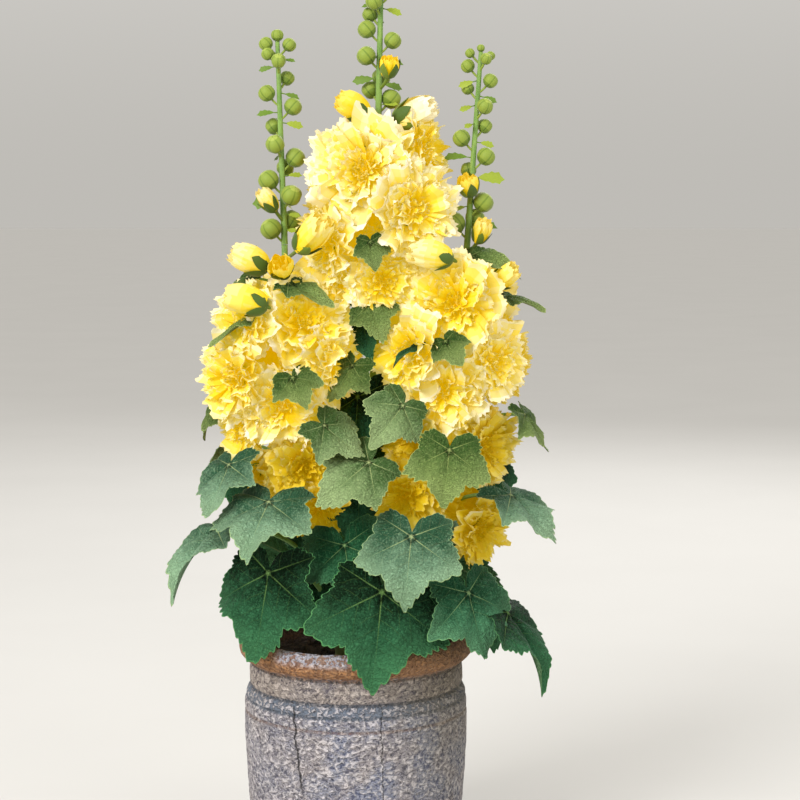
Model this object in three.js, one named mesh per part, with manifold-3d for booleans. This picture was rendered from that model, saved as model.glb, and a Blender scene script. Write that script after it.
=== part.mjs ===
import * as THREE from 'three';
import { mergeVertices } from 'three/addons/utils/BufferGeometryUtils.js';
import Module from 'manifold-3d';

// A potted hollyhock. Sizes are millimetres and angles are degrees.
// X is right, Y is away from the viewer, Z is up from the flat underside of the pot.
// An azimuth is measured from the viewer's side, and grows towards the right.

const wasm = await Module();
wasm.setup();

// Clearance between neighbouring solids, growth of the room round each, and size of the smallest edges kept
const GAP = 0.3;
const GROWN = 0.45;
const SIMPLE = 0.18;

// Pot
const POT_SIDES = 34;
const POT_HEIGHT = 238;
const RIM_RADIUS = 118;
const MOUTH_RADIUS = 104;
const NECK_RADIUS = 107.5;
const SHOULDER_RADIUS = 112.5;
const FOOT_RADIUS = 99;
const FLOOR_THICKNESS = 14;
const FLOOR_RADIUS = 88;
const SOIL_TOP = 208;

// Stems: foot and top of the trunk, and the tip of the bud spike above it
const STEMS = {
  left: { foot: [-13, -4], top: [-70, 0], topHeight: 628, tip: [-76, 0], tipHeight: 828 },
  centre: { foot: [0, 9], top: [23, 10], topHeight: 752, tip: [27, 10], tipHeight: 936 },
  right: { foot: [13, -4], top: [110, 0], topHeight: 612, tip: [124, 0], tipHeight: 816 },
};
const STEM_FOOT = SOIL_TOP + GAP;
const FLARE_RADIUS = 8.6;
const FLARE_HEIGHT = 16;
const STEM_LOW_RADIUS = 5.2;
const STEM_TOP_RADIUS = 3.4;
const SPIKE_TIP_RADIUS = 2.2;
const STEM_RINGS = 7;
const STEM_SIDES = 8;

// Leaf blades
const BLADE_STEPS = 18;
const SMALL_STEPS = 12;
const SPRIG_STEPS = 8;
const BLADE_THICKNESS = 1.5;
const INNER_RING = 0.52;
const SINUS = 0.12;
const LOBE_DEPTH = 0.14;
const LOBES_ROUND = 6;
const BLADE_BEND = 0.16;
const BLADE_WAVE = -0.06;
const SMALL_BLADE = 60;
const STALK_RADIUS = 2.1;
const STALK_FOOT_RADIUS = 2.9;
const STALK_STEPS = 2;
const STALK_SIDES = 4;

// Each leaf: name, stem, azimuth, reach from the stem, height, height of the stalk's foot,
// length of the blade, width of its side lobes and back lobes as shares of that, droop, roll, tone
const LEAVES = [
  ['leaf_low_front_left', 'left', -28, 96, 314, 268, 76, 0.78, 0.54, 70, -4, 'dark'],
  ['leaf_low_front', 'centre', 10, 117, 299, 242, 81, 0.88, 0.52, 66, -8, 'dark'],
  ['leaf_low_front_middle', 'centre', -12, 92, 340, 286, 47, 0.92, 0.84, 60, 14, 'grey'],
  ['leaf_front_silver', 'right', -8, 106, 353, 306, 58, 0.9, 0.62, 64, -4, 'grey'],
  ['leaf_low_front_right', 'right', 37, 102, 294, 243, 57, 0.94, 0.64, 64, 6, 'dark'],
  ['leaf_front_left', 'left', -20, 92, 384, 336, 62, 0.84, 0.62, 28, 0, 'grey'],
  ['leaf_left_high', 'left', -50, 88, 416, 372, 56, 0.68, 0.5, 42, 16, 'grey'],
  ['leaf_left_low', 'left', -67, 100, 351, 302, 72, 0.6, 0.48, 30, 16, 'grey'],
  ['leaf_front_middle', 'centre', 0, 95, 422, 372, 56, 0.74, 0.5, 52, -50, 'grey'],
  ['leaf_front_right', 'right', 0, 102, 436, 388, 47, 0.9, 0.58, 64, -6, 'grey'],
  ['leaf_high_front_left', 'left', 22, 86, 457, 412, 42, 0.8, 0.56, 48, 42, 'grey'],
  ['leaf_high_front', 'centre', 19, 93, 476, 424, 45, 0.74, 0.5, 62, -42, 'grey'],
  ['leaf_right_middle', 'right', 53, 92, 386, 344, 56, 0.8, 0.56, 28, 4, 'grey'],
  ['leaf_right_low', 'right', 66, 122, 268, 284, 72, 0.68, 0.5, 44, 0, 'dark'],
  ['leaf_right_high', 'right', 70, 76, 462, 424, 38, 0.8, 0.56, 50, 0, 'grey'],
  ['leaf_low_back_left', 'left', -158, 98, 300, 252, 90, 0.66, 0.5, 60, 6, 'dark'],
  ['leaf_low_back', 'centre', 180, 104, 306, 250, 96, 0.66, 0.5, 60, -8, 'dark'],
  ['leaf_low_back_right', 'right', 150, 96, 296, 246, 88, 0.66, 0.5, 58, 0, 'dark'],
  ['leaf_back_left', 'left', -168, 96, 380, 332, 72, 0.72, 0.54, 56, 8, 'grey'],
  ['leaf_back_right', 'right', 172, 98, 376, 328, 74, 0.72, 0.54, 56, -10, 'grey'],
  ['leaf_back_middle', 'centre', -172, 98, 446, 396, 64, 0.74, 0.54, 56, 12, 'grey'],
  ['leaf_back_side', 'left', -132, 86, 424, 380, 54, 0.66, 0.5, 52, 0, 'grey'],
  ['leaf_gap_low', 'centre', -11, 46, 392, 348, 54, 0.8, 0.56, 74, 0, 'dark'],
  ['leaf_gap_deep', 'centre', -30, 30, 478, 436, 66, 0.74, 0.52, 74, 0, 'dark'],
  ['leaf_gap_middle', 'centre', -21, 58, 512, 470, 38, 0.76, 0.52, 50, -20, 'grey'],
  ['leaf_gap_inner', 'centre', -22, 32, 552, 516, 34, 0.7, 0.5, 56, 20, 'dark'],
  ['leaf_gap_high', 'centre', -6, 50, 574, 532, 37, 0.7, 0.5, 62, 20, 'grey'],
];

// Blooms: azimuth, reach from the stem, height, radius, upward tilt of the face
const BLOOM_STEPS = 8;
const FRILL = 0.085;
const DOUBLE_BLOOMS = {
  blooms_centre: {
    stem: 'centre', tone: 'pale',
    rows: [
      [-18, 46, 702, 58, 12], [31, 68, 664, 51, 6], [-58, 58, 629, 44, -2], [8, 50, 594, 38, -10],
      [72, 46, 722, 42, 10], [175, 50, 700, 56, 10], [-118, 46, 672, 46, 0], [168, 50, 630, 47, -6],
      [-60, 50, 594, 36, 0],
    ],
  },
  blooms_left_upper: {
    stem: 'left', tone: 'pale',
    rows: [
      [26, 46, 553, 54, 20], [-42, 56, 554, 44, 15], [-50, 68, 500, 52, 0], [50, 58, 515, 44, 0],
      [-9, 52, 472, 52, -5], [-66, 58, 452, 42, -10], [176, 48, 556, 52, 10], [-134, 48, 506, 47, 0],
      [134, 48, 496, 45, -5],
    ],
  },
  blooms_left_lower: {
    stem: 'left', tone: 'gold',
    rows: [
      [8, 46, 413, 44, -10], [19, 42, 368, 36, -28], [-72, 46, 402, 41, -15], [172, 46, 412, 45, -5],
      [100, 42, 396, 36, -10],
    ],
  },
  blooms_right_upper: {
    stem: 'right', tone: 'pale',
    rows: [
      [-16, 46, 571, 54, 5], [44, 46, 514, 46, 0], [-48, 70, 525, 46, 0], [-18, 50, 486, 50, -5],
      [170, 46, 568, 50, 8], [124, 48, 514, 46, 0], [-136, 48, 506, 45, -4],
    ],
  },
  blooms_right_lower: {
    stem: 'right', tone: 'gold',
    rows: [
      [-45, 50, 438, 44, -5], [50, 48, 429, 44, -5], [-28, 60, 384, 44, -14], [54, 66, 348, 40, -20],
      [166, 48, 428, 46, -4], [112, 44, 384, 40, -12], [-122, 42, 392, 37, -10],
    ],
  },
};

// Half-open flowers and opening buds: place of the foot, azimuth and tilt they point, length, width
const HALF_OPEN = {
  blooms_left_upper: [
    [[-86, -40, 606], -80, 26, 38, 29], [[-70, -48, 603], -3, 24, 25, 25],
    [[-85, -72, 571], -84, 16, 40, 30], [[-54, -45, 625], 58, 42, 42, 31],
  ],
  blooms_right_upper: [[[93, -60, 616], -80, 10, 42, 28], [[137, -22, 589], 62, 36, 30, 24]],
  buds_left: [[[-79, -8, 662], -60, 50, 26, 18]],
  buds_centre: [
    [[12, -4, 754], -78, 30, 35, 27], [[40, -10, 748], 82, 24, 44, 31], [[33, -3, 793], 10, 60, 21, 20],
  ],
  buds_right: [[[114, -6, 677], -20, 55, 22, 21], [[121, -7, 631], 40, 60, 25, 19]],
};
const FLOWER_STALK = 4;
const OPENING_STALK = 2.4;

// Small leaves of the bloom masses: place of the stalk's end, azimuth, length, side lobes, droop, roll
const SPRIGS = {
  blooms_centre: [[[16, -62, 633], -4, 26, 0.72, 60, 10]],
  blooms_left_upper: [
    [[-97, -48, 562], -74, 48, 0.4, 26, 0], [[-102, -28, 598], -70, 32, 0.44, 36, 0],
    [[-64, -48, 592], 62, 46, 0.44, 12, 0], [[-59, -78, 503], -14, 33, 0.8, 44, 30],
    [[-141, -20, 466], -60, 28, 0.6, 62, -10],
  ],
  blooms_right_upper: [
    [[62, -66, 534], -66, 28, 0.42, 24, 0], [[88, -74, 538], -18, 30, 0.7, 44, 40],
    [[113, -22, 618], 74, 44, 0.44, 6, 0], [[148, -8, 578], 84, 38, 0.42, 10, 0],
  ],
};
const SPRIG_BACK = 0.68;
const SPRIG_STALK = 2.2;

// Cores of the bloom masses
const CORE_RADIUS = 31;
const CORE_OVERHANG = 14;
const PEDICEL_DROP = 12;

// Cells that keep the bloom masses apart: a point and a normal that points into the upper or right-hand side
const WALLS = {
  middle: { at: [9, 0, 480], normal: [1, 0, 0] },
  left_shoulder: { at: [-40, 0, 600], normal: [1, 0, 1] },
  right_shoulder: { at: [80, 0, 618], normal: [-0.75, 0, 0.66] },
  left_waist: { at: [-60, 0, 432], normal: [0, 0, 1] },
  right_waist: { at: [95, 0, 456], normal: [0, 0, 1] },
};
const CELLS = {
  blooms_centre: [['left_shoulder', 1], ['right_shoulder', 1]],
  blooms_left_upper: [['left_shoulder', -1], ['middle', -1], ['left_waist', 1]],
  blooms_left_lower: [['middle', -1], ['left_waist', -1]],
  blooms_right_upper: [['right_shoulder', -1], ['middle', 1], ['right_waist', 1]],
  blooms_right_lower: [['middle', 1], ['right_waist', -1]],
};
const CELL_SIZE = 900;

// Buds of each spike: azimuth, height, diameter
const BUD_REACH = 7.5;
const BUD_TILT = 50;
const BUD_SINK = 0.36;
const BUD_SIDES = 5;
const BUD_STALK = 1.5;
const BUDS = {
  left: [
    [0, 832, 12.5], [-80, 825, 14], [80, 824, 14], [-60, 815, 13], [4, 808, 15], [140, 792, 15],
    [-90, 777, 17], [90, 764, 18], [-145, 745, 17], [-24, 727, 19], [90, 714, 20], [168, 704, 18],
    [-84, 692, 21], [40, 677, 21], [150, 652, 21], [-70, 644, 21.5],
  ],
  centre: [
    [0, 941, 10.5], [-80, 933, 11], [70, 928, 12], [-20, 921, 12.5], [100, 913, 13.5], [-88, 904, 14.5],
    [30, 896, 15], [-150, 886, 16], [92, 877, 16.5], [-30, 866, 17], [-125, 855, 16], [-85, 840, 18.5],
    [86, 829, 17.5], [-75, 814, 19.5], [170, 794, 19], [-140, 781, 18], [110, 772, 20],
  ],
  right: [
    [0, 820, 8], [-85, 816, 10], [88, 813.5, 9], [30, 810, 12], [-90, 803.5, 14], [85, 789, 15],
    [-120, 782, 13], [40, 764, 16.5], [125, 745, 15], [-88, 733, 18], [86, 715, 18.5], [-165, 702, 16],
    [84, 670, 20.5], [-86, 649, 24], [150, 654, 20],
  ],
};
const BRACT_LENGTH = 17;
const BRACT_WIDTH = 9;
const BRACT_THICKNESS = 1.2;

const TONES = {
  dark: { color: 0x2a6b43, roughness: 0.72 },
  grey: { color: 0x628f6c, roughness: 0.78 },
  pale: { color: 0xffe874, roughness: 0.7 },
  gold: { color: 0xecb51c, roughness: 0.7 },
  bud: { color: 0x96b568, roughness: 0.75 },
  stem: { color: 0x6c9f5c, roughness: 0.7 },
  clay: { color: 0xa79c98, roughness: 0.88 },
  soil: { color: 0x2c2119, roughness: 0.97 },
};

function radians(degrees) {
  return THREE.MathUtils.degToRad(degrees);
}

// A repeatable number from 0 to 1 for each seed
function chance(seed) {
  const value = Math.sin(seed * 12.9898 + 4.1414) * 43758.5453;
  return value - Math.floor(value);
}

// A closed solid from a geometry, with its faces turned outward
function solidOf(geometry) {
  const bare = new THREE.BufferGeometry();
  bare.setAttribute('position', geometry.getAttribute('position'));
  if (geometry.index) bare.setIndex(geometry.index);
  const merged = mergeVertices(bare, 1e-3);
  const corners = merged.index.array;
  const triVerts = [];
  for (let i = 0; i < corners.length; i += 3) {
    const [a, b, c] = [corners[i], corners[i + 1], corners[i + 2]];
    if (a !== b && b !== c && c !== a) triVerts.push(a, b, c);
  }
  const vertProperties = new Float32Array(merged.getAttribute('position').array);
  const build = (faces) => new wasm.Manifold(
    new wasm.Mesh({ numProp: 3, vertProperties, triVerts: new Uint32Array(faces) }),
  );
  const made = build(triVerts);
  if (made.volume() > 0) return made;
  const turned = [];
  for (let i = 0; i < triVerts.length; i += 3) turned.push(triVerts[i], triVerts[i + 2], triVerts[i + 1]);
  return build(turned);
}

// A closed skin over rings of equal length between two end points
function ringSolid(start, rings, end) {
  const count = rings[0].length;
  const points = [start, ...rings.flat(), end];
  const last = points.length - 1;
  const faces = [];
  for (let i = 0; i < count; i += 1) {
    const next = (i + 1) % count;
    faces.push(0, 1 + next, 1 + i);
    for (let ring = 0; ring < rings.length - 1; ring += 1) {
      const low = 1 + ring * count;
      const high = low + count;
      faces.push(low + i, low + next, high + next);
      faces.push(low + i, high + next, high + i);
    }
    const top = 1 + (rings.length - 1) * count;
    faces.push(last, top + i, top + next);
  }
  const geometry = new THREE.BufferGeometry().setFromPoints(points);
  geometry.setIndex(faces);
  return solidOf(geometry);
}

function outward(azimuth) {
  return new THREE.Vector3(Math.sin(radians(azimuth)), -Math.cos(radians(azimuth)), 0);
}

// Centre of a stem, or of the spike above it, at a height
function stemPoint(name, height) {
  const stem = STEMS[name];
  const foot = new THREE.Vector2(...stem.foot);
  const top = new THREE.Vector2(...stem.top);
  let place = null;
  if (height > stem.topHeight) {
    const share = (height - stem.topHeight) / (stem.tipHeight - stem.topHeight);
    place = top.lerp(new THREE.Vector2(...stem.tip), share);
  } else {
    const share = Math.max(0, (height - STEM_FOOT) / (stem.topHeight - STEM_FOOT));
    place = foot.lerp(top, 1 - (1 - share) ** 2);
  }
  return new THREE.Vector3(place.x, place.y, height);
}

function around(name, azimuth, reach, height) {
  return stemPoint(name, height).addScaledVector(outward(azimuth), reach);
}

// A tapering round limb along a line of points, its end rings level if it stands upright
function limb(points, radii, sides, upright = false) {
  const rings = points.map((point, i) => {
    const before = points[Math.max(0, i - 1)];
    const after = points[Math.min(points.length - 1, i + 1)];
    const along = after.clone().sub(before).normalize();
    if (upright) along.set(0, 0, 1);
    const guide = Math.abs(along.z) > 0.9 ? new THREE.Vector3(1, 0, 0) : new THREE.Vector3(0, 0, 1);
    const across = new THREE.Vector3().crossVectors(along, guide).normalize();
    const up = new THREE.Vector3().crossVectors(across, along);
    return Array.from({ length: sides }, (_, k) => {
      const turn = (2 * Math.PI * k) / sides;
      return point.clone()
        .addScaledVector(across, radii[i] * Math.cos(turn))
        .addScaledVector(up, radii[i] * Math.sin(turn));
    });
  });
  return ringSolid(points[0], rings, points[points.length - 1]);
}

function stemSolid(name, grow = 0) {
  const { topHeight } = STEMS[name];
  const heights = [STEM_FOOT, STEM_FOOT + FLARE_HEIGHT * 0.4, STEM_FOOT + FLARE_HEIGHT];
  for (let i = 1; i <= STEM_RINGS; i += 1) {
    heights.push(STEM_FOOT + FLARE_HEIGHT + ((topHeight - STEM_FOOT - FLARE_HEIGHT) * i) / STEM_RINGS);
  }
  const radii = heights.map((height, i) => {
    const share = (height - STEM_FOOT) / (topHeight - STEM_FOOT);
    const plain = THREE.MathUtils.lerp(STEM_LOW_RADIUS, STEM_TOP_RADIUS, share);
    return grow + [FLARE_RADIUS, THREE.MathUtils.lerp(FLARE_RADIUS, plain, 0.6)][i] || grow + plain;
  });
  const points = heights.map((height) => stemPoint(name, height));
  if (grow > 0) {
    points.unshift(points[0].clone().setZ(STEM_FOOT - grow));
    radii.unshift(radii[0]);
    points.push(points[points.length - 1].clone().setZ(topHeight + grow));
    radii.push(radii[radii.length - 1]);
  }
  return limb(points, radii, STEM_SIDES, true);
}

// Profile of the pot from the middle of its underside round to the middle of its inner floor
function potProfile(grow = 0) {
  const outer = [
    [0, 0], [FOOT_RADIUS - 2, 0], [FOOT_RADIUS + 3, 5], [SHOULDER_RADIUS - 4.5, 66],
    [SHOULDER_RADIUS - 1, 120], [SHOULDER_RADIUS, 162], [SHOULDER_RADIUS - 0.5, 173],
    [SHOULDER_RADIUS - 2.6, 175.5], [SHOULDER_RADIUS - 1.8, 178],
    [NECK_RADIUS + 1.5, 184], [NECK_RADIUS - 1.5, 187],
    [NECK_RADIUS, 191], [NECK_RADIUS, 205], [NECK_RADIUS - 1.8, 210], [NECK_RADIUS + 3, 214],
    [RIM_RADIUS - 1.5, 220], [RIM_RADIUS, 228], [RIM_RADIUS - 4, POT_HEIGHT - 2],
  ];
  const inner = [
    [MOUTH_RADIUS + 5, POT_HEIGHT], [MOUTH_RADIUS, POT_HEIGHT - 5], [FLOOR_RADIUS, FLOOR_THICKNESS],
  ];
  const wider = outer.map(([r, z]) => [r > 0 ? r + grow : 0, z]);
  const narrower = inner.map(([r, z], i) => [i === 0 ? r : r - grow, z + grow]);
  return [...wider, ...narrower, [0, FLOOR_THICKNESS + grow]];
}

function potSolid(grow = 0) {
  const profile = potProfile(grow).map(([r, z]) => new THREE.Vector2(r, z));
  const lathe = new THREE.LatheGeometry(profile, POT_SIDES);
  lathe.rotateX(Math.PI / 2);
  return solidOf(lathe);
}

function soilSolid() {
  const slope = (MOUTH_RADIUS - FLOOR_RADIUS) / (POT_HEIGHT - 5 - FLOOR_THICKNESS);
  const low = FLOOR_THICKNESS + GAP;
  const lowRadius = FLOOR_RADIUS + GAP * slope - GAP;
  const topRadius = FLOOR_RADIUS + (SOIL_TOP - FLOOR_THICKNESS) * slope - GAP;
  const profile = [[0, low], [lowRadius, low], [topRadius, SOIL_TOP], [0, SOIL_TOP]];
  const lathe = new THREE.LatheGeometry(profile.map(([r, z]) => new THREE.Vector2(r, z)), POT_SIDES);
  lathe.rotateX(Math.PI / 2);
  return solidOf(lathe);
}

// Edge of a blade as a share of its length, at an angle from its tip
function bladeEdge(angle, side, back) {
  const turn = Math.abs(((angle + 540) % 360) - 180);
  const marks = [
    [0, 1], [60, side], [112, back * 1.04], [138, back], [158, back * 0.62], [171, SINUS * 1.4], [180, SINUS],
  ];
  let share = SINUS;
  for (let i = 0; i < marks.length - 1; i += 1) {
    const [from, low] = marks[i];
    const [to, high] = marks[i + 1];
    if (turn >= from && turn <= to) share = THREE.MathUtils.lerp(low, high, (turn - from) / (to - from));
  }
  const lobed = turn > 165 ? 1 : 1 + LOBE_DEPTH * Math.cos(radians(LOBES_ROUND * turn));
  return share * lobed;
}

// A blade as it hangs: place of the stalk's end, facing, droop of the tip and roll in its own plane
function bladeFrame(place, azimuth, droop, roll) {
  const out = outward(azimuth);
  const down = radians(droop);
  const tip = out.clone().multiplyScalar(Math.cos(down)).add(new THREE.Vector3(0, 0, -Math.sin(down)));
  const normal = out.clone().multiplyScalar(Math.sin(down)).add(new THREE.Vector3(0, 0, Math.cos(down)));
  const side = new THREE.Vector3().crossVectors(tip, normal);
  const turned = new THREE.Matrix4().makeRotationZ(radians(roll));
  return new THREE.Matrix4().makeBasis(side, tip, normal).setPosition(place).multiply(turned);
}

function bladeSolid(frame, length, side, back, steps, grow = 0) {
  const half = BLADE_THICKNESS / 2 + grow;
  const ring = (share, lift) => Array.from({ length: steps }, (_, i) => {
    const angle = (360 * i) / steps;
    const radius = share * bladeEdge(angle, side, back);
    const wave = BLADE_WAVE * radius * Math.cos(radians(LOBES_ROUND * angle));
    const sag = length * (wave - BLADE_BEND * radius ** 2);
    const reach = radius * length + grow;
    const turn = radians(angle);
    return new THREE.Vector3(-Math.sin(turn) * reach, Math.cos(turn) * reach, sag + lift).applyMatrix4(frame);
  });
  const rings = [ring(INNER_RING, half), ring(1, half), ring(1, -half)];
  const top = new THREE.Vector3(0, 0, half).applyMatrix4(frame);
  const bottom = new THREE.Vector3(0, 0, -half).applyMatrix4(frame);
  return ringSolid(top, rings, bottom);
}

// Stalk from inside the stem up and out to the back of the blade
function stalkSolid(stem, foot, azimuth, reach, place, grow = 0) {
  const start = stemPoint(stem, foot);
  const rise = Math.max(0, place.z - foot) * 0.9 + reach * 0.12;
  const bend = start.clone().addScaledVector(outward(azimuth), reach * 0.45).setZ(foot + rise);
  const curve = new THREE.QuadraticBezierCurve3(start, bend, place);
  const points = curve.getPoints(STALK_STEPS);
  const radii = points.map((_, i) => (
    THREE.MathUtils.lerp(STALK_FOOT_RADIUS, STALK_RADIUS, i / STALK_STEPS) + grow
  ));
  return limb(points, radii, STALK_SIDES);
}

function leafSolid(row, grow = 0) {
  const [, stem, azimuth, reach, height, foot, length, side, back, droop, roll] = row;
  const place = around(stem, azimuth, reach, height);
  const frame = bladeFrame(place, azimuth, droop, roll);
  const steps = length < SMALL_BLADE ? SMALL_STEPS : BLADE_STEPS;
  const blade = bladeSolid(frame, length, side, back, steps, grow);
  return blade.add(stalkSolid(stem, foot, azimuth, reach, place, grow));
}

// Frame of a bloom or bud: its face looks along Z
function faceFrame(place, azimuth, tilt, spin = 0) {
  const out = outward(azimuth);
  const up = radians(tilt);
  const face = out.clone().multiplyScalar(Math.cos(up)).add(new THREE.Vector3(0, 0, Math.sin(up)));
  const across = new THREE.Vector3(-out.y, out.x, 0);
  const over = new THREE.Vector3().crossVectors(face, across);
  const turned = new THREE.Matrix4().makeRotationZ(radians(spin));
  return new THREE.Matrix4().makeBasis(across, over, face).setPosition(place).multiply(turned);
}

// A double bloom: a domed crowd of petals over a frilled ring of guard petals, narrowing to its root
function bloomSolid(frame, root, radius, seed) {
  const ring = (share, lift, frill, ragged) => Array.from({ length: BLOOM_STEPS }, (_, i) => {
    const turn = (2 * Math.PI * i) / BLOOM_STEPS;
    const jitter = 1 + ragged * (chance(seed + i * 7.3) - 0.5);
    const reach = radius * share * jitter;
    const rise = radius * (lift + frill * (i % 2 ? -1 : 1));
    return new THREE.Vector3(Math.cos(turn) * reach, Math.sin(turn) * reach, rise).applyMatrix4(frame);
  });
  const rings = [
    ring(0.56, 0.34, 0.05, 0.25), ring(0.98, 0.08, FRILL, 0.14), ring(0.96, 0.03, FRILL, 0.14),
  ];
  const top = new THREE.Vector3(0, 0, radius * 0.44).applyMatrix4(frame);
  return ringSolid(top, rings, root);
}

// A bud or a rolled half-open flower on its stalk, pointing along Z from the root
function budSolid(frame, length, width, stalk, grow = 0) {
  const thin = BUD_STALK + grow;
  const full = width / 2 + grow;
  const profile = [
    [0, -stalk - grow], [thin, -stalk - grow], [full, length * 0.32], [full * 0.84, length * 0.76],
    [0, length + grow],
  ];
  const bud = new THREE.LatheGeometry(profile.map(([r, z]) => new THREE.Vector2(r, z)), BUD_SIDES);
  bud.rotateX(Math.PI / 2);
  bud.applyMatrix4(frame);
  return solidOf(bud);
}

// The side of a wall that its normal points into (+1) or away from (-1), as a large block
function beyond(wall, side) {
  const normal = new THREE.Vector3(...wall.normal).normalize().multiplyScalar(side);
  const block = new THREE.BoxGeometry(CELL_SIZE, CELL_SIZE, CELL_SIZE);
  block.translate(0, 0, (CELL_SIZE - GAP) / 2);
  const turn = new THREE.Quaternion().setFromUnitVectors(new THREE.Vector3(0, 0, 1), normal);
  block.applyQuaternion(turn);
  block.translate(...wall.at);
  return solidOf(block);
}

function largest(solid) {
  const pieces = solid.decompose();
  return pieces.reduce((best, piece) => (piece.volume() > best.volume() ? piece : best), pieces[0]);
}

// The solid with room left round each of its neighbours, without the scraps that this cuts off
function clearOf(solid, neighbours) {
  const cut = neighbours.reduce((left, neighbour) => left.subtract(neighbour), solid);
  return largest(cut.simplify(SIMPLE));
}

function bloomMass(name) {
  const { stem, rows } = DOUBLE_BLOOMS[name];
  const heights = rows.map((row) => row[2]);
  const low = Math.min(...heights) - CORE_OVERHANG;
  const high = Math.max(...heights) + CORE_OVERHANG;
  const middle = stemPoint(stem, (low + high) / 2);
  const core = new THREE.SphereGeometry(1, 6, 4);
  core.rotateX(Math.PI / 2);
  core.scale(CORE_RADIUS, CORE_RADIUS, (high - low) / 2);
  core.translate(middle.x, middle.y, middle.z);
  let mass = solidOf(core);
  rows.forEach(([azimuth, reach, height, radius, tilt], i) => {
    const place = around(stem, azimuth, reach, height);
    const seed = height + azimuth + i;
    const root = stemPoint(stem, THREE.MathUtils.clamp(height - PEDICEL_DROP, low + 30, high - 30));
    mass = mass.add(bloomSolid(faceFrame(place, azimuth, tilt, 90 * chance(seed)), root, radius, seed));
  });
  const cut = CELLS[name].reduce((left, [wall, side]) => left.subtract(beyond(WALLS[wall], -side)), mass);
  return addTrimmings(cut, name, stem, FLOWER_STALK);
}

// The solid with its half-open flowers and small leaves, each on a stalk from the stem
function addTrimmings(solid, name, stem, stalk, grow = 0) {
  let whole = solid;
  const addStalk = (place, thick) => {
    const root = stemPoint(stem, place.z - PEDICEL_DROP);
    whole = whole.add(limb([root, place], [thick + grow, thick + grow], 4));
  };
  (HALF_OPEN[name] || []).forEach(([spot, facing, tilt, length, width]) => {
    const place = new THREE.Vector3(...spot);
    whole = whole.add(budSolid(faceFrame(place, facing, tilt), length, width, 2, grow));
    addStalk(place.clone().addScaledVector(outward(facing), 3), stalk);
  });
  (SPRIGS[name] || []).forEach(([spot, azimuth, length, side, droop, roll]) => {
    const place = new THREE.Vector3(...spot);
    const frame = bladeFrame(place, azimuth, droop, roll);
    whole = whole.add(bladeSolid(frame, length, side, side * SPRIG_BACK, SPRIG_STEPS, grow));
    addStalk(place, SPRIG_STALK);
  });
  return whole;
}

function bractSolid(place, azimuth, grow = 0) {
  const frame = faceFrame(place, azimuth, 24);
  const bract = new THREE.OctahedronGeometry(1);
  bract.scale(BRACT_WIDTH / 2 + grow, BRACT_THICKNESS / 2 + grow, BRACT_LENGTH / 2 + grow);
  bract.translate(0, 0, BRACT_LENGTH / 2 - 2);
  bract.applyMatrix4(frame);
  return solidOf(bract);
}

// A bud spike: its own axis above the stem, buds on short stalks, and a bract under every fifth bud
function spikeSolid(name, grow = 0) {
  const foot = STEMS[name].topHeight + GAP - grow;
  const [, tipHeight, tipWidth] = BUDS[name][0];
  const end = tipHeight - tipWidth * BUD_SINK + 1;
  const points = [foot, (foot + end) / 2, end].map((height) => stemPoint(name, height));
  points[0].z = foot;
  let spike = limb(points, [STEM_TOP_RADIUS, 2.8, SPIKE_TIP_RADIUS].map((r) => r + grow), 7, true);
  BUDS[name].forEach(([azimuth, height, width], i) => {
    const onTip = i === 0;
    const reach = onTip ? 0 : BUD_REACH;
    const place = around(name, azimuth, reach, height - width * BUD_SINK);
    const frame = faceFrame(place, azimuth, onTip ? 88 : BUD_TILT);
    spike = spike.add(budSolid(frame, width, width, reach, grow));
    if (i % 5 === 2) spike = spike.add(bractSolid(stemPoint(name, height - width * 0.8), azimuth + 40, grow));
  });
  return addTrimmings(spike, `buds_${name}`, name, OPENING_STALK, grow);
}

const part = new THREE.Group();
part.name = 'potted_hollyhock';

function keep(name, solid, tone) {
  const { vertProperties, triVerts } = solid.getMesh();
  const geometry = new THREE.BufferGeometry();
  geometry.setAttribute('position', new THREE.BufferAttribute(new Float32Array(vertProperties), 3));
  geometry.setIndex(new THREE.BufferAttribute(new Uint32Array(triVerts), 1));
  geometry.computeVertexNormals();
  const material = new THREE.MeshStandardMaterial({ ...TONES[tone], metalness: 0 });
  const mesh = new THREE.Mesh(geometry, material);
  mesh.name = name;
  part.add(mesh);
}

keep('pot', potSolid(), 'clay');
keep('soil', soilSolid(), 'soil');

const stemNames = Object.keys(STEMS);
const stemRooms = stemNames.map((name) => stemSolid(name, GROWN));
stemNames.forEach((name) => keep(`stem_${name}`, stemSolid(name), 'stem'));

const taken = [...stemRooms, potSolid(GROWN)];
LEAVES.forEach((row) => {
  keep(row[0], clearOf(leafSolid(row), taken), row[11]);
  taken.push(leafSolid(row, GROWN));
});

stemNames.forEach((name) => {
  keep(`buds_${name}`, clearOf(spikeSolid(name), taken), 'bud');
  taken.push(spikeSolid(name, GROWN));
});

const bloomNames = Object.keys(DOUBLE_BLOOMS);
const trimmings = bloomNames.map((name) => (
  addTrimmings(wasm.Manifold.union([]), name, DOUBLE_BLOOMS[name].stem, FLOWER_STALK, GROWN)
));
bloomNames.forEach((name, i) => {
  const others = trimmings.filter((_, k) => k !== i);
  keep(name, clearOf(bloomMass(name), [...taken, ...others]), DOUBLE_BLOOMS[name].tone);
});

export default part;
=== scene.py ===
import math
from math import radians

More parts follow.
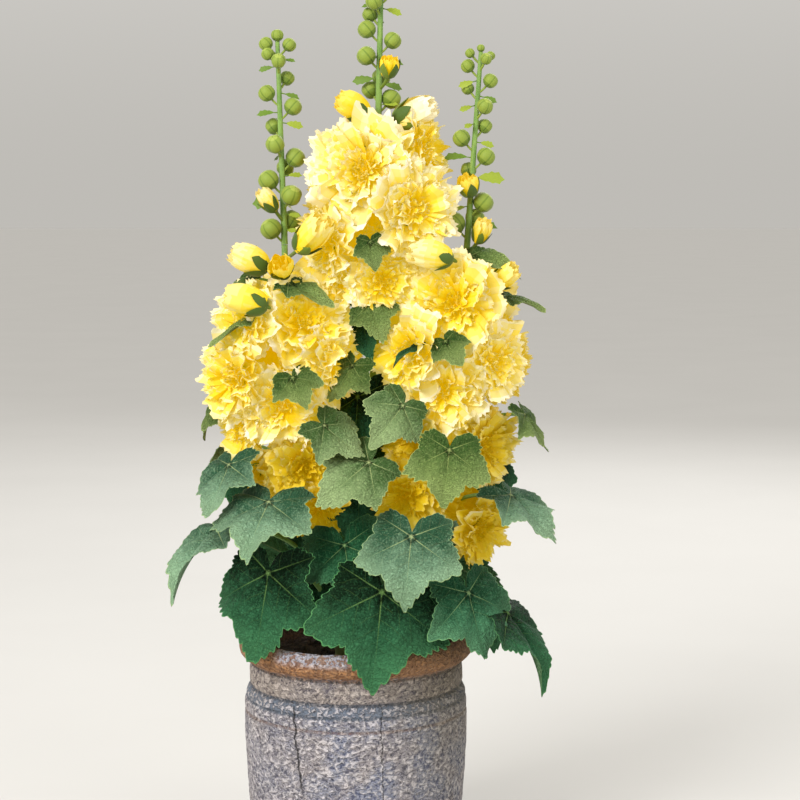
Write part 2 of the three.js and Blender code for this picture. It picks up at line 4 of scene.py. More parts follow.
import bpy
import numpy as np
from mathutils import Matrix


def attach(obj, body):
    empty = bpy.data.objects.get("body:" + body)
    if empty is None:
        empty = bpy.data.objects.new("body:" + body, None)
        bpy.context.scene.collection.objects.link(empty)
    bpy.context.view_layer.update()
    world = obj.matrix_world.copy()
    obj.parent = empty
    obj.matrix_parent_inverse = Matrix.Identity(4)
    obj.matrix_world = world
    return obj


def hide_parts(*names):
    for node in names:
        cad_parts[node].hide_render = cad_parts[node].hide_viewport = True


# Looks of the potted hollyhock, in millimetres and degrees unless a comment says otherwise.
# Stems, leaves, blooms, half-open flowers, small leaves and buds stand where the solids have them.
# The inner leaves, the twists, the finer shapes and all tints are this script's own.
# X is right, Y is away from the viewer, Z is up. An azimuth grows from the viewer's side towards the right.

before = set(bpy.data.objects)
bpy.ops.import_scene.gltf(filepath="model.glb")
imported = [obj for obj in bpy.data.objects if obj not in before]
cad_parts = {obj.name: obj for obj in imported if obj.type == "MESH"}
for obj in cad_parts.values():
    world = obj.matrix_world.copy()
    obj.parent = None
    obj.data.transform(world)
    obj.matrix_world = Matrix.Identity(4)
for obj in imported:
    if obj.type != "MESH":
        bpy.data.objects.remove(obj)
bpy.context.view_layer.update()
bpy.ops.object.select_all(action="DESELECT")

MM = 0.001
BODY = "root"
UP = np.array([0.0, 0.0, 1.0])

# Pot: radius and height along its wall, from the middle of the underside round to the inner floor
POT_WALL = [
    (0, 0), (94, 0), (98.5, 1.2), (101, 3.6), (102.4, 8), (104.6, 30), (108, 66), (110.2, 95),
    (111.5, 120), (112.3, 145), (112.6, 158), (112.2, 160.6), (111.3, 161.8), (111.3, 162.8),
    (112.3, 164.2), (112.4, 170), (111.6, 173.2), (110, 175), (109.9, 176), (110.9, 177.8),
    (110.7, 180.5), (109.4, 183.6), (107.2, 186), (105.9, 187.2), (106.2, 188.2), (107.3, 190),
    (107.8, 193), (107.8, 201), (107.3, 206), (106, 208.8), (105.5, 210.2), (106.4, 211.8),
    (109.4, 213.4), (113.4, 216.2), (116.8, 220.4), (118, 225.6), (117.5, 230.8), (115.4, 235),
    (112, 237.4), (109, 237.9), (106.2, 236.6), (104.4, 233.6), (103.6, 229), (102.8, 218), (101.9, 206),
    (98, 150), (94, 98), (90, 44), (88, 20), (86.6, 15.4), (84, 14), (0, 14),
]
POT_STEPS = 224
WALL_SPACING = 2.6
SEAM_GAP = 0.05

# Edges of the pot's finishes in metres, each from where it starts to where it is full: the height of the
# rim, the lime and the wall above the underside, and the radius of the inner wall
RIM_EDGE = (0.2105, 0.217)
LIME_EDGE = (0.2225, 0.231)
FOOT_EDGE = (0.004, 0.006)
INNER_EDGE = (0.1035, 0.105)

# The same from left to right: the cool middle, the darker olive right side, which is painted shade, and the
# darker right side of the rim, also painted shade
COOL_EDGE = (-0.087, 0.0)
SHADED_SIDE_EDGE = (0.011, 0.099)
SHADED_RIM_EDGE = (0.045, 0.11)

# Soil and the crumbs on it
SOIL_TOP = 208
SOIL_FLOOR = 14.3
SOIL_TOP_RADIUS = 101.3
SOIL_FLOOR_RADIUS = 87.6
SOIL_SIDES = 96
SOIL_RINGS = 30
SOIL_RING_WIDTH = 3.2
SOIL_EDGE = 3
LEVEL = 0.9
CRUMB_COUNT = 170
CRUMB_REACH = 92
CRUMB_RADIUS = (1.2, 2.6)

# Relief in metres: kind of pattern, size and strength
POT_RELIEF = [("CLOUDS", 0.11, 0.0026), ("CLOUDS", 0.016, 0.0014), ("CLOUDS", 0.0045, 0.0009)]
SOIL_RELIEF = [("CLOUDS", 0.05, 0.006), ("CLOUDS", 0.009, 0.004), ("STUCCI", 0.004, 0.0015)]
STEM_RELIEF = [("CLOUDS", 0.006, 0.0005)]

# Stains of the pot: middle, half height and soft edge of the neck and shoulder bands, the last two of every
# groove, and each groove's height, tint and share
NECK_BAND = (198, 9, 5)
SHOULDER_BAND = (181, 5, 4)
GROOVE_BAND = (0.6, 1.8)
GROOVES = [
    (161.8, "#8A6340", 0.5), (175.5, "#56606D", 0.8), (187.2, "#474D57", 0.9), (210.2, "#4C443A", 0.85),
]
LIME_AZIMUTH = -20

# Cracks in the pot: azimuth, lowest and highest height, sideways wander, width, slope from top to bottom
CRACKS = [(-31.5, 96, 186, 2.6, 1.7, -0.10), (13.5, 84, 190, 2.4, 1.1, -0.03)]
CRACK_RADIUS = 111

# Stems: foot and top of the trunk, and the tip of the bud spike above it
STEMS = {
    "left": {"foot": (-13, -4), "top": (-70, 0), "top_height": 628, "tip": (-76, 0), "tip_height": 828},
    "centre": {"foot": (0, 9), "top": (23, 10), "top_height": 752, "tip": (27, 10), "tip_height": 936},
    "right": {"foot": (13, -4), "top": (110, 0), "top_height": 612, "tip": (124, 0), "tip_height": 816},
}
STEM_FOOT = 208.3
FLARE_RADIUS = 8.6
FLARE_HEIGHT = 16
STEM_LOW_RADIUS = 5.2
STEM_TOP_RADIUS = 3.4
SPIKE_TIP_RADIUS = 2.2
STEM_SIDES = 20
STEM_RINGS = 90
STEM_INSET = 0.25
JOINT_SWELL = 0.9
JOINT_LENGTH = 6
SPIKE_SIDES = 12
SPIKE_RINGS = 14
TWIG_SIDES = 6

# Leaves: name, stem, azimuth, reach from the stem, height, height of the stalk's foot,
# length of the blade, width of its side lobes and back lobes as shares of that, droop, roll, tone
LEAVES = [
    ("leaf_low_front_left", "left", -28, 96, 314, 268, 76, 0.78, 0.54, 70, -4, "dark"),
    ("leaf_low_front", "centre", 10, 117, 299, 242, 81, 0.88, 0.52, 66, -8, "dark"),
    ("leaf_low_front_middle", "centre", -12, 92, 340, 286, 47, 0.92, 0.84, 60, 14, "deep"),
    ("leaf_front_silver", "right", -8, 106, 353, 306, 58, 0.9, 0.62, 64, -4, "grey"),
    ("leaf_low_front_right", "right", 37, 102, 294, 243, 57, 0.94, 0.64, 64, 6, "cool"),
    ("leaf_front_left", "left", -20, 92, 384, 336, 62, 0.84, 0.62, 28, 0, "grey"),
    ("leaf_left_high", "left", -50, 88, 416, 372, 56, 0.68, 0.5, 42, 16, "grey"),
    ("leaf_left_low", "left", -67, 100, 351, 302, 72, 0.6, 0.48, 30, 16, "grey"),
    ("leaf_front_middle", "centre", 0, 95, 422, 372, 56, 0.74, 0.5, 52, -50, "soft"),
    ("leaf_front_right", "right", 0, 102, 436, 388, 47, 0.9, 0.58, 64, -6, "young"),
    ("leaf_high_front_left", "left", 22, 86, 457, 412, 42, 0.8, 0.56, 48, 42, "soft"),
    ("leaf_high_front", "centre", 19, 93, 476, 424, 45, 0.74, 0.5, 62, -42, "soft"),
    ("leaf_right_middle", "right", 53, 92, 386, 344, 56, 0.8, 0.56, 28, 4, "grey"),
    ("leaf_right_low", "right", 66, 122, 268, 284, 72, 0.68, 0.5, 44, 0, "dark"),
    ("leaf_right_high", "right", 70, 76, 462, 424, 38, 0.8, 0.56, 50, 0, "young"),
    ("leaf_low_back_left", "left", -158, 98, 300, 252, 90, 0.66, 0.5, 60, 6, "dark"),
    ("leaf_low_back", "centre", 180, 104, 306, 250, 96, 0.66, 0.5, 60, -8, "dark"),
    ("leaf_low_back_right", "right", 150, 96, 296, 246, 88, 0.66, 0.5, 58, 0, "dark"),
    ("leaf_back_left", "left", -168, 96, 380, 332, 72, 0.72, 0.54, 56, 8, "grey"),
    ("leaf_back_right", "right", 172, 98, 376, 328, 74, 0.72, 0.54, 56, -10, "grey"),
    ("leaf_back_middle", "centre", -172, 98, 446, 396, 64, 0.74, 0.54, 56, 12, "grey"),
    ("leaf_back_side", "left", -132, 86, 424, 380, 54, 0.66, 0.5, 52, 0, "young"),
    ("leaf_gap_low", "centre", -11, 46, 392, 348, 54, 0.8, 0.56, 74, 0, "dark"),
    ("leaf_gap_deep", "centre", -30, 30, 478, 436, 66, 0.74, 0.52, 74, 0, "dark"),
    ("leaf_gap_middle", "centre", -21, 58, 512, 470, 38, 0.76, 0.52, 50, -20, "young"),
    ("leaf_gap_inner", "centre", -22, 32, 552, 516, 34, 0.7, 0.5, 56, 20, "dark"),
    ("leaf_gap_high", "centre", -6, 50, 574, 532, 37, 0.7, 0.5, 62, 20, "young"),
]
SINUS = 0.07
LOBE_DEPTH = 0.115
SHOULDER_DEPTH = 0.03
LOBES_ROUND = 6
LOBE_SPREAD = 60
BLADE_BEND = 0.16
BLADE_WAVE = -0.06
BLADE_SKIN = 0.6
RIM_START = 0.984
STALK_DROP = 2.2
STALK_FOOT_RADIUS = 2.5
STALK_RADIUS = 1.5
BLADE_TURNS = [0, 60, 112, 138, 158, 171, 180]
SINUS_TURN = 165
BLADE_CUSHION = 0.014
BLADE_FURROW = 0.03
BLADE_FLUTTER = 0.065
BLADE_RIPPLE = 0.07
TOOTH_DEPTH = 0.06
SMALL_TOOTH_DEPTH = 0.07
SMALL_LENGTH = 50
STALK_OUT = 0.45
STALK_RISE = 0.9
STALK_ARCH = 0.12
STALK_SWELL = 1.25
SMALL_BACK = 0.68
STALK_STEPS = 14
STALK_SIDES = 8
SMALL_STALK_STEPS = 8
SMALL_STALK_RADII = (1.9, 1.1)

# Cut of a blade: points round its edge, rings, teeth
LARGE_BLADE = (222, 15, 60)
MIDDLE_BLADE = (180, 15, 48)
SMALL_BLADE = (114, 9, 38)
LARGE_LENGTH = 70

# Veins: the outermost main vein from the middle one, and the side veins' spacing, sweep and shift from one
# side to the other, as shares of the blade's length or of the spacing
LAST_VEIN = 2.0
VEIN_SPACING = 0.17
VEIN_SWEEP = 0.75
VEIN_SHIFT = 0.45

# Order of a leaf's finishes, and the name of its flat map
FACE_SLOT, BACK_SLOT, STALK_SLOT, RIM_SLOT = range(4)
LEAF_MAP = "leaf_map"

# Greens of the leaves: dark, light, veins and rim of the face, the same of the back, and the edge, then the
# face's roughness, the strength of its veins and its lightness at the tip, over a darker base that is
# painted shade
LEAF_GREENS = {
    "dark": (
        ("#0A2410", "#38724C", "#86B062", "#4C8456"),
        ("#4A7A4C", "#668F60", "#A5BF80", "#769C6E"),
        "#4F8A50", (0.5, 0.66, 0.85),
    ),
    # Cool: a lighter copy of the dark greens for a low leaf in shade, which is painted light
    "cool": (
        ("#215234", "#5C9C72", "#A8CA88", "#709E74"),
        ("#5C8A5E", "#789E70", "#B0C88C", "#88AA7C"),
        "#6E9E66", (0.5, 0.8, 0.85),
    ),
    "deep": (
        ("#1C5030", "#4E9466", "#A4C882", "#689A6C"),
        ("#5C8A5E", "#789E70", "#B0C88C", "#88AA7C"),
        "#649860", (0.5, 0.8, 0.85),
    ),
    "grey": (
        ("#345E42", "#92B894", "#C4D494", "#A0BE92"),
        ("#73987A", "#8BAC86", "#B9CE9C", "#9AB792"),
        "#93AF78", (0.55, 0.85, 0.95),
    ),
    # Soft: a lighter copy of the grey greens for leaves in the shade of the blooms, which is painted light
    "soft": (
        ("#4C6C38", "#A0BA7E", "#C8D690", "#ACC086"),
        ("#7C9A6C", "#94B080", "#C0D098", "#A4BC8C"),
        "#A4B878", (0.55, 0.85, 0.95),
    ),
    "young": (
        ("#42622A", "#93AB60", "#BECA7A", "#A4B670"),
        ("#7C9660", "#94AC74", "#C0CC90", "#A4B480"),
        "#A2B264", (0.55, 0.8, 0.95),
    ),
}
LEAF_BACK_SETTINGS = (0.7, 0.8, 0.6)

# Blooms: azimuth, reach from the stem, height, radius, upward tilt of the face
BLOOMS = {
    "blooms_centre": ("centre", "pale", [
        (-18, 46, 702, 58, 12), (31, 68, 664, 51, 6), (-58, 58, 629, 44, -2), (8, 50, 594, 38, -10),
        (72, 46, 722, 42, 10), (175, 50, 700, 56, 10), (-118, 46, 672, 46, 0), (168, 50, 630, 47, -6),
        (-60, 50, 594, 36, 0),
    ]),
    "blooms_left_upper": ("left", "pale", [
        (26, 46, 553, 54, 20), (-42, 56, 554, 44, 15), (-50, 68, 500, 52, 0), (50, 58, 515, 44, 0),
        (-9, 52, 472, 52, -5), (-66, 58, 452, 42, -10), (176, 48, 556, 52, 10), (-134, 48, 506, 47, 0),
        (134, 48, 496, 45, -5),
    ]),
    "blooms_left_lower": ("left", "gold", [
        (8, 46, 413, 44, -10), (19, 42, 368, 36, -28), (-72, 46, 402, 41, -15), (172, 46, 412, 45, -5),
        (100, 42, 396, 36, -10),
    ]),
    "blooms_right_upper": ("right", "pale", [
        (-16, 46, 571, 54, 5), (44, 46, 514, 46, 0), (-48, 70, 525, 46, 0), (-18, 50, 486, 50, -5),
        (170, 46, 568, 50, 8), (124, 48, 514, 46, 0), (-136, 48, 506, 45, -4),
    ]),
    "blooms_right_lower": ("right", "gold", [
        (-45, 50, 438, 44, -5), (50, 48, 429, 44, -5), (-28, 60, 384, 44, -14), (54, 66, 348, 40, -20),
        (166, 48, 428, 46, -4), (112, 44, 384, 40, -12), (-122, 42, 392, 37, -10),
    ]),
}
FILLER_STEP = 34
FILLER_COUNT = 6
FILLER_REACH = 34
FILLER_RADIUS = 31
CORE_OVERHANG = 14
PEDICEL_DROP = 12
FILLER_MARGIN = 24
ROOT_MARGIN = 30
PEDICEL_STEPS = 6
PEDICEL_RADII = (1.7, 2.3)
HALF_OPEN_STALK_RADII = (1.6, 1.9)

# Half-open flowers: stem, place of the foot, azimuth and tilt it points, length, width, least tint of its
# petals, and the share of its length that its sepals cover
HALF_OPEN = {
    "blooms_left_upper": [
        ("left", (-86, -40, 606), -80, 26, 38, 29, 5, 0.5),
        ("left", (-70, -48, 603), -3, 24, 25, 25, 3, 0.4),
        ("left", (-85, -72, 571), -84, 16, 40, 30, 4, 0.42),
        ("left", (-54, -45, 625), 58, 42, 42, 31, 4, 0.4),
    ],
    "blooms_right_upper": [
        ("right", (93, -60, 616), -80, 10, 42, 28, 5, 0.34),
        ("right", (137, -22, 589), 62, 36, 30, 24, 4, 0.4),
    ],
    "buds_left": [("left", (-79, -8, 662), -60, 50, 26, 18, 5, 0.62)],
    "buds_centre": [
        ("centre", (12, -4, 754), -78, 30, 35, 27, 3, 0.5),
        ("centre", (40, -10, 748), 82, 24, 44, 31, 7, 0.5),
        ("centre", (33, -3, 793), 10, 60, 21, 20, 2, 0.88),
    ],
    "buds_right": [
        ("right", (114, -6, 677), -20, 55, 22, 21, 3, 0.88),
        ("right", (121, -7, 631), 40, 60, 25, 19, 4, 0.6),
    ],
}

# Small leaves among the flowers: stem, place of the stalk's end, azimuth, length, side lobes, droop, roll,
# twist about their own length, tone
SMALL_LEAVES = [
    ("centre", (16, -62, 633), -4, 26, 0.72, 60, 10, 0, "young"),
    ("right", (62, -66, 534), -66, 28, 0.42, 24, 0, 0, "dark"),
    ("right", (88, -74, 538), -18, 30, 0.7, 44, 40, 0, "young"),
    ("right", (113, -22, 618), 74, 44, 0.44, 6, 0, 34, "young"),
    ("right", (148, -8, 578), 84, 38, 0.42, 10, 0, 14, "young"),
    ("left", (-97, -48, 562), -74, 48, 0.40, 26, 0, 0, "young"),
    ("left", (-102, -28, 598), -70, 32, 0.44, 36, 0, -20, "young"),
    ("left", (-64, -48, 592), 62, 46, 0.44, 12, 0, 20, "young"),
    ("left", (-59, -78, 503), -14, 33, 0.80, 44, 30, 0, "young"),
    ("left", (-141, -20, 466), -60, 28, 0.60, 62, -10, 0, "young"),
]

# Leaves deep in the crown that only this model has, in the same columns
INNER_LEAVES = [
    ("right", (136, 10, 264), 36, 42, 0.9, 68, 0, 0, "dark"),
    ("left", (-116, -4, 404), -40, 34, 0.84, 68, 0, 0, "dark"),
    ("left", (-52, -12, 354), -40, 38, 0.9, 72, 0, 0, "dark"),
    ("centre", (24, -10, 440), 10, 34, 0.9, 76, 0, 0, "dark"),
    ("right", (138, -4, 408), 36, 36, 0.84, 72, 0, 0, "dark"),
    ("right", (76, -14, 298), 14, 44, 0.9, 74, 0, 0, "dark"),
    ("left", (-38, -12, 300), -16, 42, 0.9, 74, 0, 0, "dark"),
]

# Buds of each spike: azimuth, height, diameter
BUD_REACH = 7.5
BUD_TILT = 50
BUD_SINK = 0.36
BUD_TIP_TILT = 88
BUD_STALK_STEPS = 4
BUD_STALK_RADII = (1.2, 1.2)
BUDS = {
    "left": [
        (0, 832, 12.5), (-80, 825, 14), (80, 824, 14), (-60, 815, 13), (4, 808, 15), (140, 792, 15),
        (-90, 777, 17), (90, 764, 18), (-145, 745, 17), (-24, 727, 19), (90, 714, 20), (168, 704, 18),
        (-84, 692, 21), (40, 677, 21), (150, 652, 21), (-70, 644, 21.5),
    ],
    "centre": [
        (0, 941, 10.5), (-80, 933, 11), (70, 928, 12), (-20, 921, 12.5), (100, 913, 13.5),
        (-88, 904, 14.5), (30, 896, 15), (-150, 886, 16), (92, 877, 16.5), (-30, 866, 17),
        (-125, 855, 16), (-85, 840, 18.5), (86, 829, 17.5), (-75, 814, 19.5), (170, 794, 19),
        (-140, 781, 18), (110, 772, 20),
    ],
    "right": [
        (0, 820, 8), (-85, 816, 10), (88, 813.5, 9), (30, 810, 12), (-90, 803.5, 14), (85, 789, 15),
        (-120, 782, 13), (40, 764, 16.5), (125, 745, 15), (-88, 733, 18), (86, 715, 18.5),
        (-165, 702, 16), (84, 670, 20.5), (-86, 649, 24), (150, 654, 20),
    ],
}

# Small toothed bracts of each spike: azimuth, height, length
BRACT_STALK_RADII = (0.7, 0.6, 0.5)
BRACTS = {
    "left": [
        (-88, 803, 15), (70, 809, 13), (96, 777, 16), (-82, 758, 18), (86, 748, 18), (80, 696, 15),
        (-96, 672, 27), (60, 658, 14), (40, 643, 13), (170, 780, 15), (-160, 718, 17), (150, 668, 18),
    ],
    "centre": [
        (-84, 863, 14), (82, 860, 17), (78, 808, 19), (-88, 792, 22), (98, 786, 19), (70, 766, 15),
        (176, 850, 15), (-150, 812, 17), (160, 778, 18),
    ],
    "right": [
        (-86, 789, 16), (84, 774, 15), (-70, 765, 14), (-40, 747, 12), (88, 729, 15), (-92, 714, 25),
        (92, 694, 28), (-84, 681, 18), (-60, 666, 14), (80, 650, 24), (170, 752, 15), (-160, 700, 18),
        (160, 668, 18),
    ],
}

# Sepals round a flower or bud, and rows and columns of faces in a sepal, in a calyx and in a rolled petal
SEPALS = 5
SEPAL_SPREAD = 62
COLLAR_SPREAD = 58
CALYX_OPENING = 39
SEPAL_GRID = (5, 4)
CALYX_GRID = (7, 4)
ROLLED_GRID = (7, 14)
ROLLED_PETALS = 8
ROLLED_TURN = 137
ROLLED_SPREAD = 78
ROLLED_FOLD = 0.03

# Round a bud, the columns of points of each sepal in degrees from its seam. The first two are in the groove
BUD_SIDES = 20
BUD_COLUMNS = (-5.0, 5.0, 24.0, 48.0)
BUD_GROOVE = 0.93
BUD_SWELL = 1.01
BUD_STRETCH = 1.66
BUD_FOOT = 0.34

# Half of a bud's outline: radius, then height up to its tip, both as shares of half its width
BUD_PROFILE = np.array([
    (0.02, 0.34), (0.22, 0.36), (0.62, 0.46), (0.90, 0.66), (1.0, 0.92), (0.96, 1.12), (0.80, 1.30),
    (0.52, 1.42), (0.24, 1.475), (0.05, 1.49),
])

# Half of a bract's outline: half width, then length up to its tip, both as shares of its length
BRACT_OUTLINE = np.array([
    (0, 0), (0.07, 0.12), (0.17, 0.30), (0.16, 0.40), (0.24, 0.54), (0.20, 0.64), (0.24, 0.80),
    (0.12, 0.86), (0, 1.0),
])

# A half-open flower: share of its length, and its radius there as a share of half its width
HALF_OPEN_BODY = ([-0.06, 0, 0.1, 0.3, 0.55, 0.8, 1], [0.26, 0.5, 0.7, 0.88, 1.0, 0.98, 0.82])

# Petals of a double bloom, from the guard petals in: count, length and half width as shares of the
# radius, elevation at the root and at the rim, twist
PETAL_LAYERS = [
    (7, 0.98, 0.54, 34, -10, 14), (8, 0.92, 0.45, 44, 0, 20), (10, 0.84, 0.34, 54, 6, 26),
    (11, 0.75, 0.26, 62, 12, 32), (12, 0.65, 0.21, 70, 22, 38), (12, 0.54, 0.18, 78, 40, 44),
    (11, 0.43, 0.16, 86, 64, 52), (7, 0.34, 0.15, 94, 84, 60),
]
FILLER_LAYERS = [(6, 0.97, 0.58, 30, 0, 20), (7, 0.80, 0.42, 52, 16, 40)]
PETAL_COLUMNS = 10
PETAL_ROWS = 5
RIM_PARTS = 3
HUB_DEPTH = 0.22

# Form of a petal as shares of its length or half width: width at the root, notches and rounding of the
# rim, pleats, cup, least ruffle and what chance adds to it
PETAL_WAIST = 0.10
PETAL_NOTCH = 0.065
PETAL_ROUNDING = 0.20
PETAL_PLEAT = 0.10
PETAL_CUP = 0.30
PETAL_RUFFLE = (0.14, 0.2)

# Tints of the petals from the deep gold of the roots to the cream of the rims
PETAL_TINTS = [
    "#C89A02", "#CCA404", "#D0AC08", "#D4B418", "#D7BA38", "#D9C256", "#DAC87C", "#DBCF9A", "#DDD5B0",
    "#E0DAC6",
]

# Painted glow of the petals, an emission that stands in for light coming through them: its tint, and its
# strength in the deepest and in the palest petals
PAINTED_GLOW_TINT = "#F0D000"
# The gold masses low on the plant take deeper tints and less glow than the pale ones: partly their own
# deeper gold, partly painted shade for their low place
PAINTED_PETAL_GLOW = {"pale": (0.37, 0.22), "gold": (0.14, 0.12)}
PETAL_SPAN = {"pale": (1.0, 5.2), "gold": (0.0, 3.3)}

# Greens of the buds, sepals and bracts
BUD_TINTS = ["#48601E", "#6A802A", "#849638", "#9EAC4C"]
BRACT_TINTS = ["#64802A", "#90A032"]

# Order of a spike's finishes: bud tints, bract tints, stem. Stalks have one of the bud tints
PEDICEL_SLOT = 1
BUD_STALK_SLOT = 2
BRACT_SLOT = len(BUD_TINTS)
STEM_SLOT = BRACT_SLOT + len(BRACT_TINTS)

# Camera and light, in metres
CAMERA_PLACE = (0.0445, -2.0889, 0.6889)
CAMERA_PITCH = 5.9
CAMERA_LENS = 94.5
FLOOR_SIZE = 60

# Windows: name, place, the place they face, size and power
WINDOWS = [
    ("key_window", (-1.7, -2.3, 2.2), (0, 0, 0.5), 1.5, 105),
    ("fill_window", (2.4, -1.6, 1.7), (0, 0, 0.6), 2.0, 26),
    ("back_window", (0.8, 2.6, 2.2), (0, 0, 0.5), 2.0, 34),
]
LOW_SKY = (0.65, 0.63, 0.59, 1.0)
HIGH_SKY = (1.0, 0.98, 0.94, 1.0)
SKY_STRENGTH = 0.8


def chance(seed):
    value = math.sin(seed * 12.9898 + 4.1414) * 43758.5453
    return value - math.floor(value)


def chances(seed, count):
    values = np.sin((seed + np.arange(count) * 7.3) * 12.9898 + 4.1414) * 43758.5453
    return values - np.floor(values)


def outward(azimuth):
    return np.array([math.sin(radians(azimuth)), -math.cos(radians(azimuth)), 0.0])


def stem_point(name, height):
    """Centre of a stem, or of the spike above it, at a height."""
    stem = STEMS[name]
    foot, top, tip = (np.array(stem[key], float) for key in ("foot", "top", "tip"))
    if height > stem["top_height"]:
        share = (height - stem["top_height"]) / (stem["tip_height"] - stem["top_height"])
        place = top + (tip - top) * share
    else:
        share = max(0, (height - STEM_FOOT) / (stem["top_height"] - STEM_FOOT))
        place = foot + (top - foot) * (1 - (1 - share) ** 2)
    return np.array([place[0], place[1], height])


def around(name, azimuth, reach, height):
    return stem_point(name, height) + outward(azimuth) * reach


def turned(basis, degrees):
    """The basis turned about its own third axis."""
    c, s = math.cos(radians(degrees)), math.sin(radians(degrees))
    across, along, normal = basis
    return np.array([across * c + along * s, along * c - across * s, normal])


def twisted(basis, degrees):
    """The basis turned about its own second axis."""
    c, s = math.cos(radians(degrees)), math.sin(radians(degrees))
    across, along, normal = basis
    return np.array([across * c - normal * s, along, normal * c + across * s])


def blade_basis(azimuth, droop, roll):
    """Axes of a blade as it hangs: its side, its tip and the way its face looks."""
    out = outward(azimuth)
    down = radians(droop)
    tip = out * math.cos(down) - UP * math.sin(down)
    normal = out * math.sin(down) + UP * math.cos(down)
    return turned(np.array([np.cross(tip, normal), tip, normal]), roll)


def face_basis(azimuth, tilt, spin=0):
    """Axes of a bloom or bud, the third of them the way it looks."""
    out = outward(azimuth)
    up = radians(tilt)
    face = out * math.cos(up) + UP * math.sin(up)
    across = np.array([-out[1], out[0], 0.0])
    return turned(np.array([across, np.cross(face, across), face]), spin)


class Heap:
    """Gathers points and faces of many small shapes into one mesh."""

    def __init__(self):
        self.points = []
        self.faces = []
        self.slots = []
        self.maps = []
        self.count = 0

    def add(self, points, groups, flat=None):
        """Adds points, and groups of faces between them, each with its slot or slots."""
        for faces, slots in groups:
            self.faces.append(np.asarray(faces) + self.count)
            self.slots.append(np.broadcast_to(slots, len(faces)))
        self.points.append(points)
        self.maps.append(np.zeros((len(points), 2)) if flat is None else flat)
        self.count += len(points)

    def piece(self, name, finishes, map_name=None):
        """The mesh as an object, in metres, smooth, with its finishes in order."""
        points = np.concatenate(self.points) * MM
        corners = np.concatenate([faces.ravel() for faces in self.faces])
        sizes = np.concatenate([np.full(len(faces), faces.shape[1]) for faces in self.faces])
        mesh = bpy.data.meshes.new(name)
        mesh.vertices.add(len(points))
        mesh.vertices.foreach_set("co", points.astype(np.float32).ravel())
        mesh.loops.add(len(corners))
        mesh.loops.foreach_set("vertex_index", corners.astype(np.int32))
        mesh.polygons.add(len(sizes))
        mesh.polygons.foreach_set("loop_start", (np.cumsum(sizes) - sizes).astype(np.int32))
        mesh.polygons.foreach_set("material_index", np.concatenate(self.slots).astype(np.int32))
        mesh.polygons.foreach_set("use_smooth", np.ones(len(sizes), bool))
        if map_name:
            flat = np.concatenate(self.maps)[corners]
            mesh.uv_layers.new(name=map_name).data.foreach_set("uv", flat.astype(np.float32).ravel())
        for finish in finishes:
            mesh.materials.append(finish)
        mesh.update(calc_edges=True)
        mesh.validate()
        piece = bpy.data.objects.new(name, mesh)
        bpy.context.scene.collection.objects.link(piece)
        return piece


def dress(piece, slot, *nodes):
    """The piece rides with the plant and stands for nodes of the frame, which it hides. The slot is not
    used.
    """
    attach(piece, BODY)
    if nodes:
        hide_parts(*nodes)
    return piece


def ring_faces(rings, steps, closed=True):
    """Quads between rings of points that follow each other."""
    across = np.arange(steps if closed else steps - 1)
    after = (across + 1) % steps
    low = np.arange(rings - 1)[:, None] * steps
    high = low + steps
    return np.stack([low + across, low + after, high + after, high + across], -1).reshape(-1, 4)


def fan_faces(centre, ring, flip=False):
    after = np.roll(ring, -1)
    first, second = (after, ring) if flip else (ring, after)
    return np.stack([np.full(len(ring), centre), first, second], -1)


def curve_points(start, bend, end, steps):
    share = np.linspace(0, 1, steps + 1)[:, None]
    return start * (1 - share) ** 2 + bend * 2 * share * (1 - share) + end * share ** 2


def tube(heap, points, radii, sides, slot):
    """A closed tapering limb along a line of points."""
    points = np.asarray(points, float)
    radii = np.asarray(radii, float)
    along = np.gradient(points, axis=0)
    along /= np.linalg.norm(along, axis=1)[:, None]
    guide = np.where(np.abs(along[:, 2:]) > 0.9, [[1.0, 0.0, 0.0]], [[0.0, 0.0, 1.0]])
    across = np.cross(along, guide)
    across /= np.linalg.norm(across, axis=1)[:, None]
    over = np.cross(across, along)
    turn = 2 * math.pi * np.arange(sides) / sides
    rings = (
        points[:, None]
        + across[:, None] * (radii[:, None] * np.cos(turn))[..., None]
        - over[:, None] * (radii[:, None] * np.sin(turn))[..., None]
    ).reshape(-1, 3)
    count = len(rings)
    first, last = np.arange(sides), np.arange(count - sides, count)
    faces = [ring_faces(len(points), sides), fan_faces(count, first, True), fan_faces(count + 1, last)]
    heap.add(np.vstack([rings, points[0], points[-1]]), [(part, slot) for part in faces])


def twig(heap, root, bend, end, radii, steps, slot):
    """A thin stalk along a curve, its radius going evenly from the first value to the last."""
    tube(heap, curve_points(root, bend, end, steps), np.linspace(*radii, steps + 1), TWIG_SIDES, slot)


def grid_points(*parts):
    """Points from their three coordinates, each a row, a column or a whole grid."""
    return np.stack(np.broadcast_arrays(*parts), -1).reshape(-1, 3)


# Node helpers


class Wire:
    """An output of a node, which can be reckoned with like a number."""

    def __init__(self, tree, socket):
        self.tree = tree
        self.socket = socket

    def __add__(self, other):
        return calc("ADD", self, other)

    def __sub__(self, other):
        return calc("SUBTRACT", self, other)

    def __rsub__(self, other):
        return calc("SUBTRACT", other, self)

    def __mul__(self, other):
        return calc("MULTIPLY", self, other)

    def __truediv__(self, other):
        return calc("DIVIDE", self, other)

    def __abs__(self):
        return calc("ABSOLUTE", self)

    def goes_to(self, socket):
        self.tree.links.new(self.socket, socket)


def colour(code):
    """A colour as the shaders want it, from its common hexadecimal form."""
    parts = [int(code[i:i + 2], 16) / 255 for i in (1, 3, 5)]
    linear = [c / 12.92 if c <= 0.04045 else ((c + 0.055) / 1.055) ** 2.4 for c in parts]
    return (*linear, 1.0)


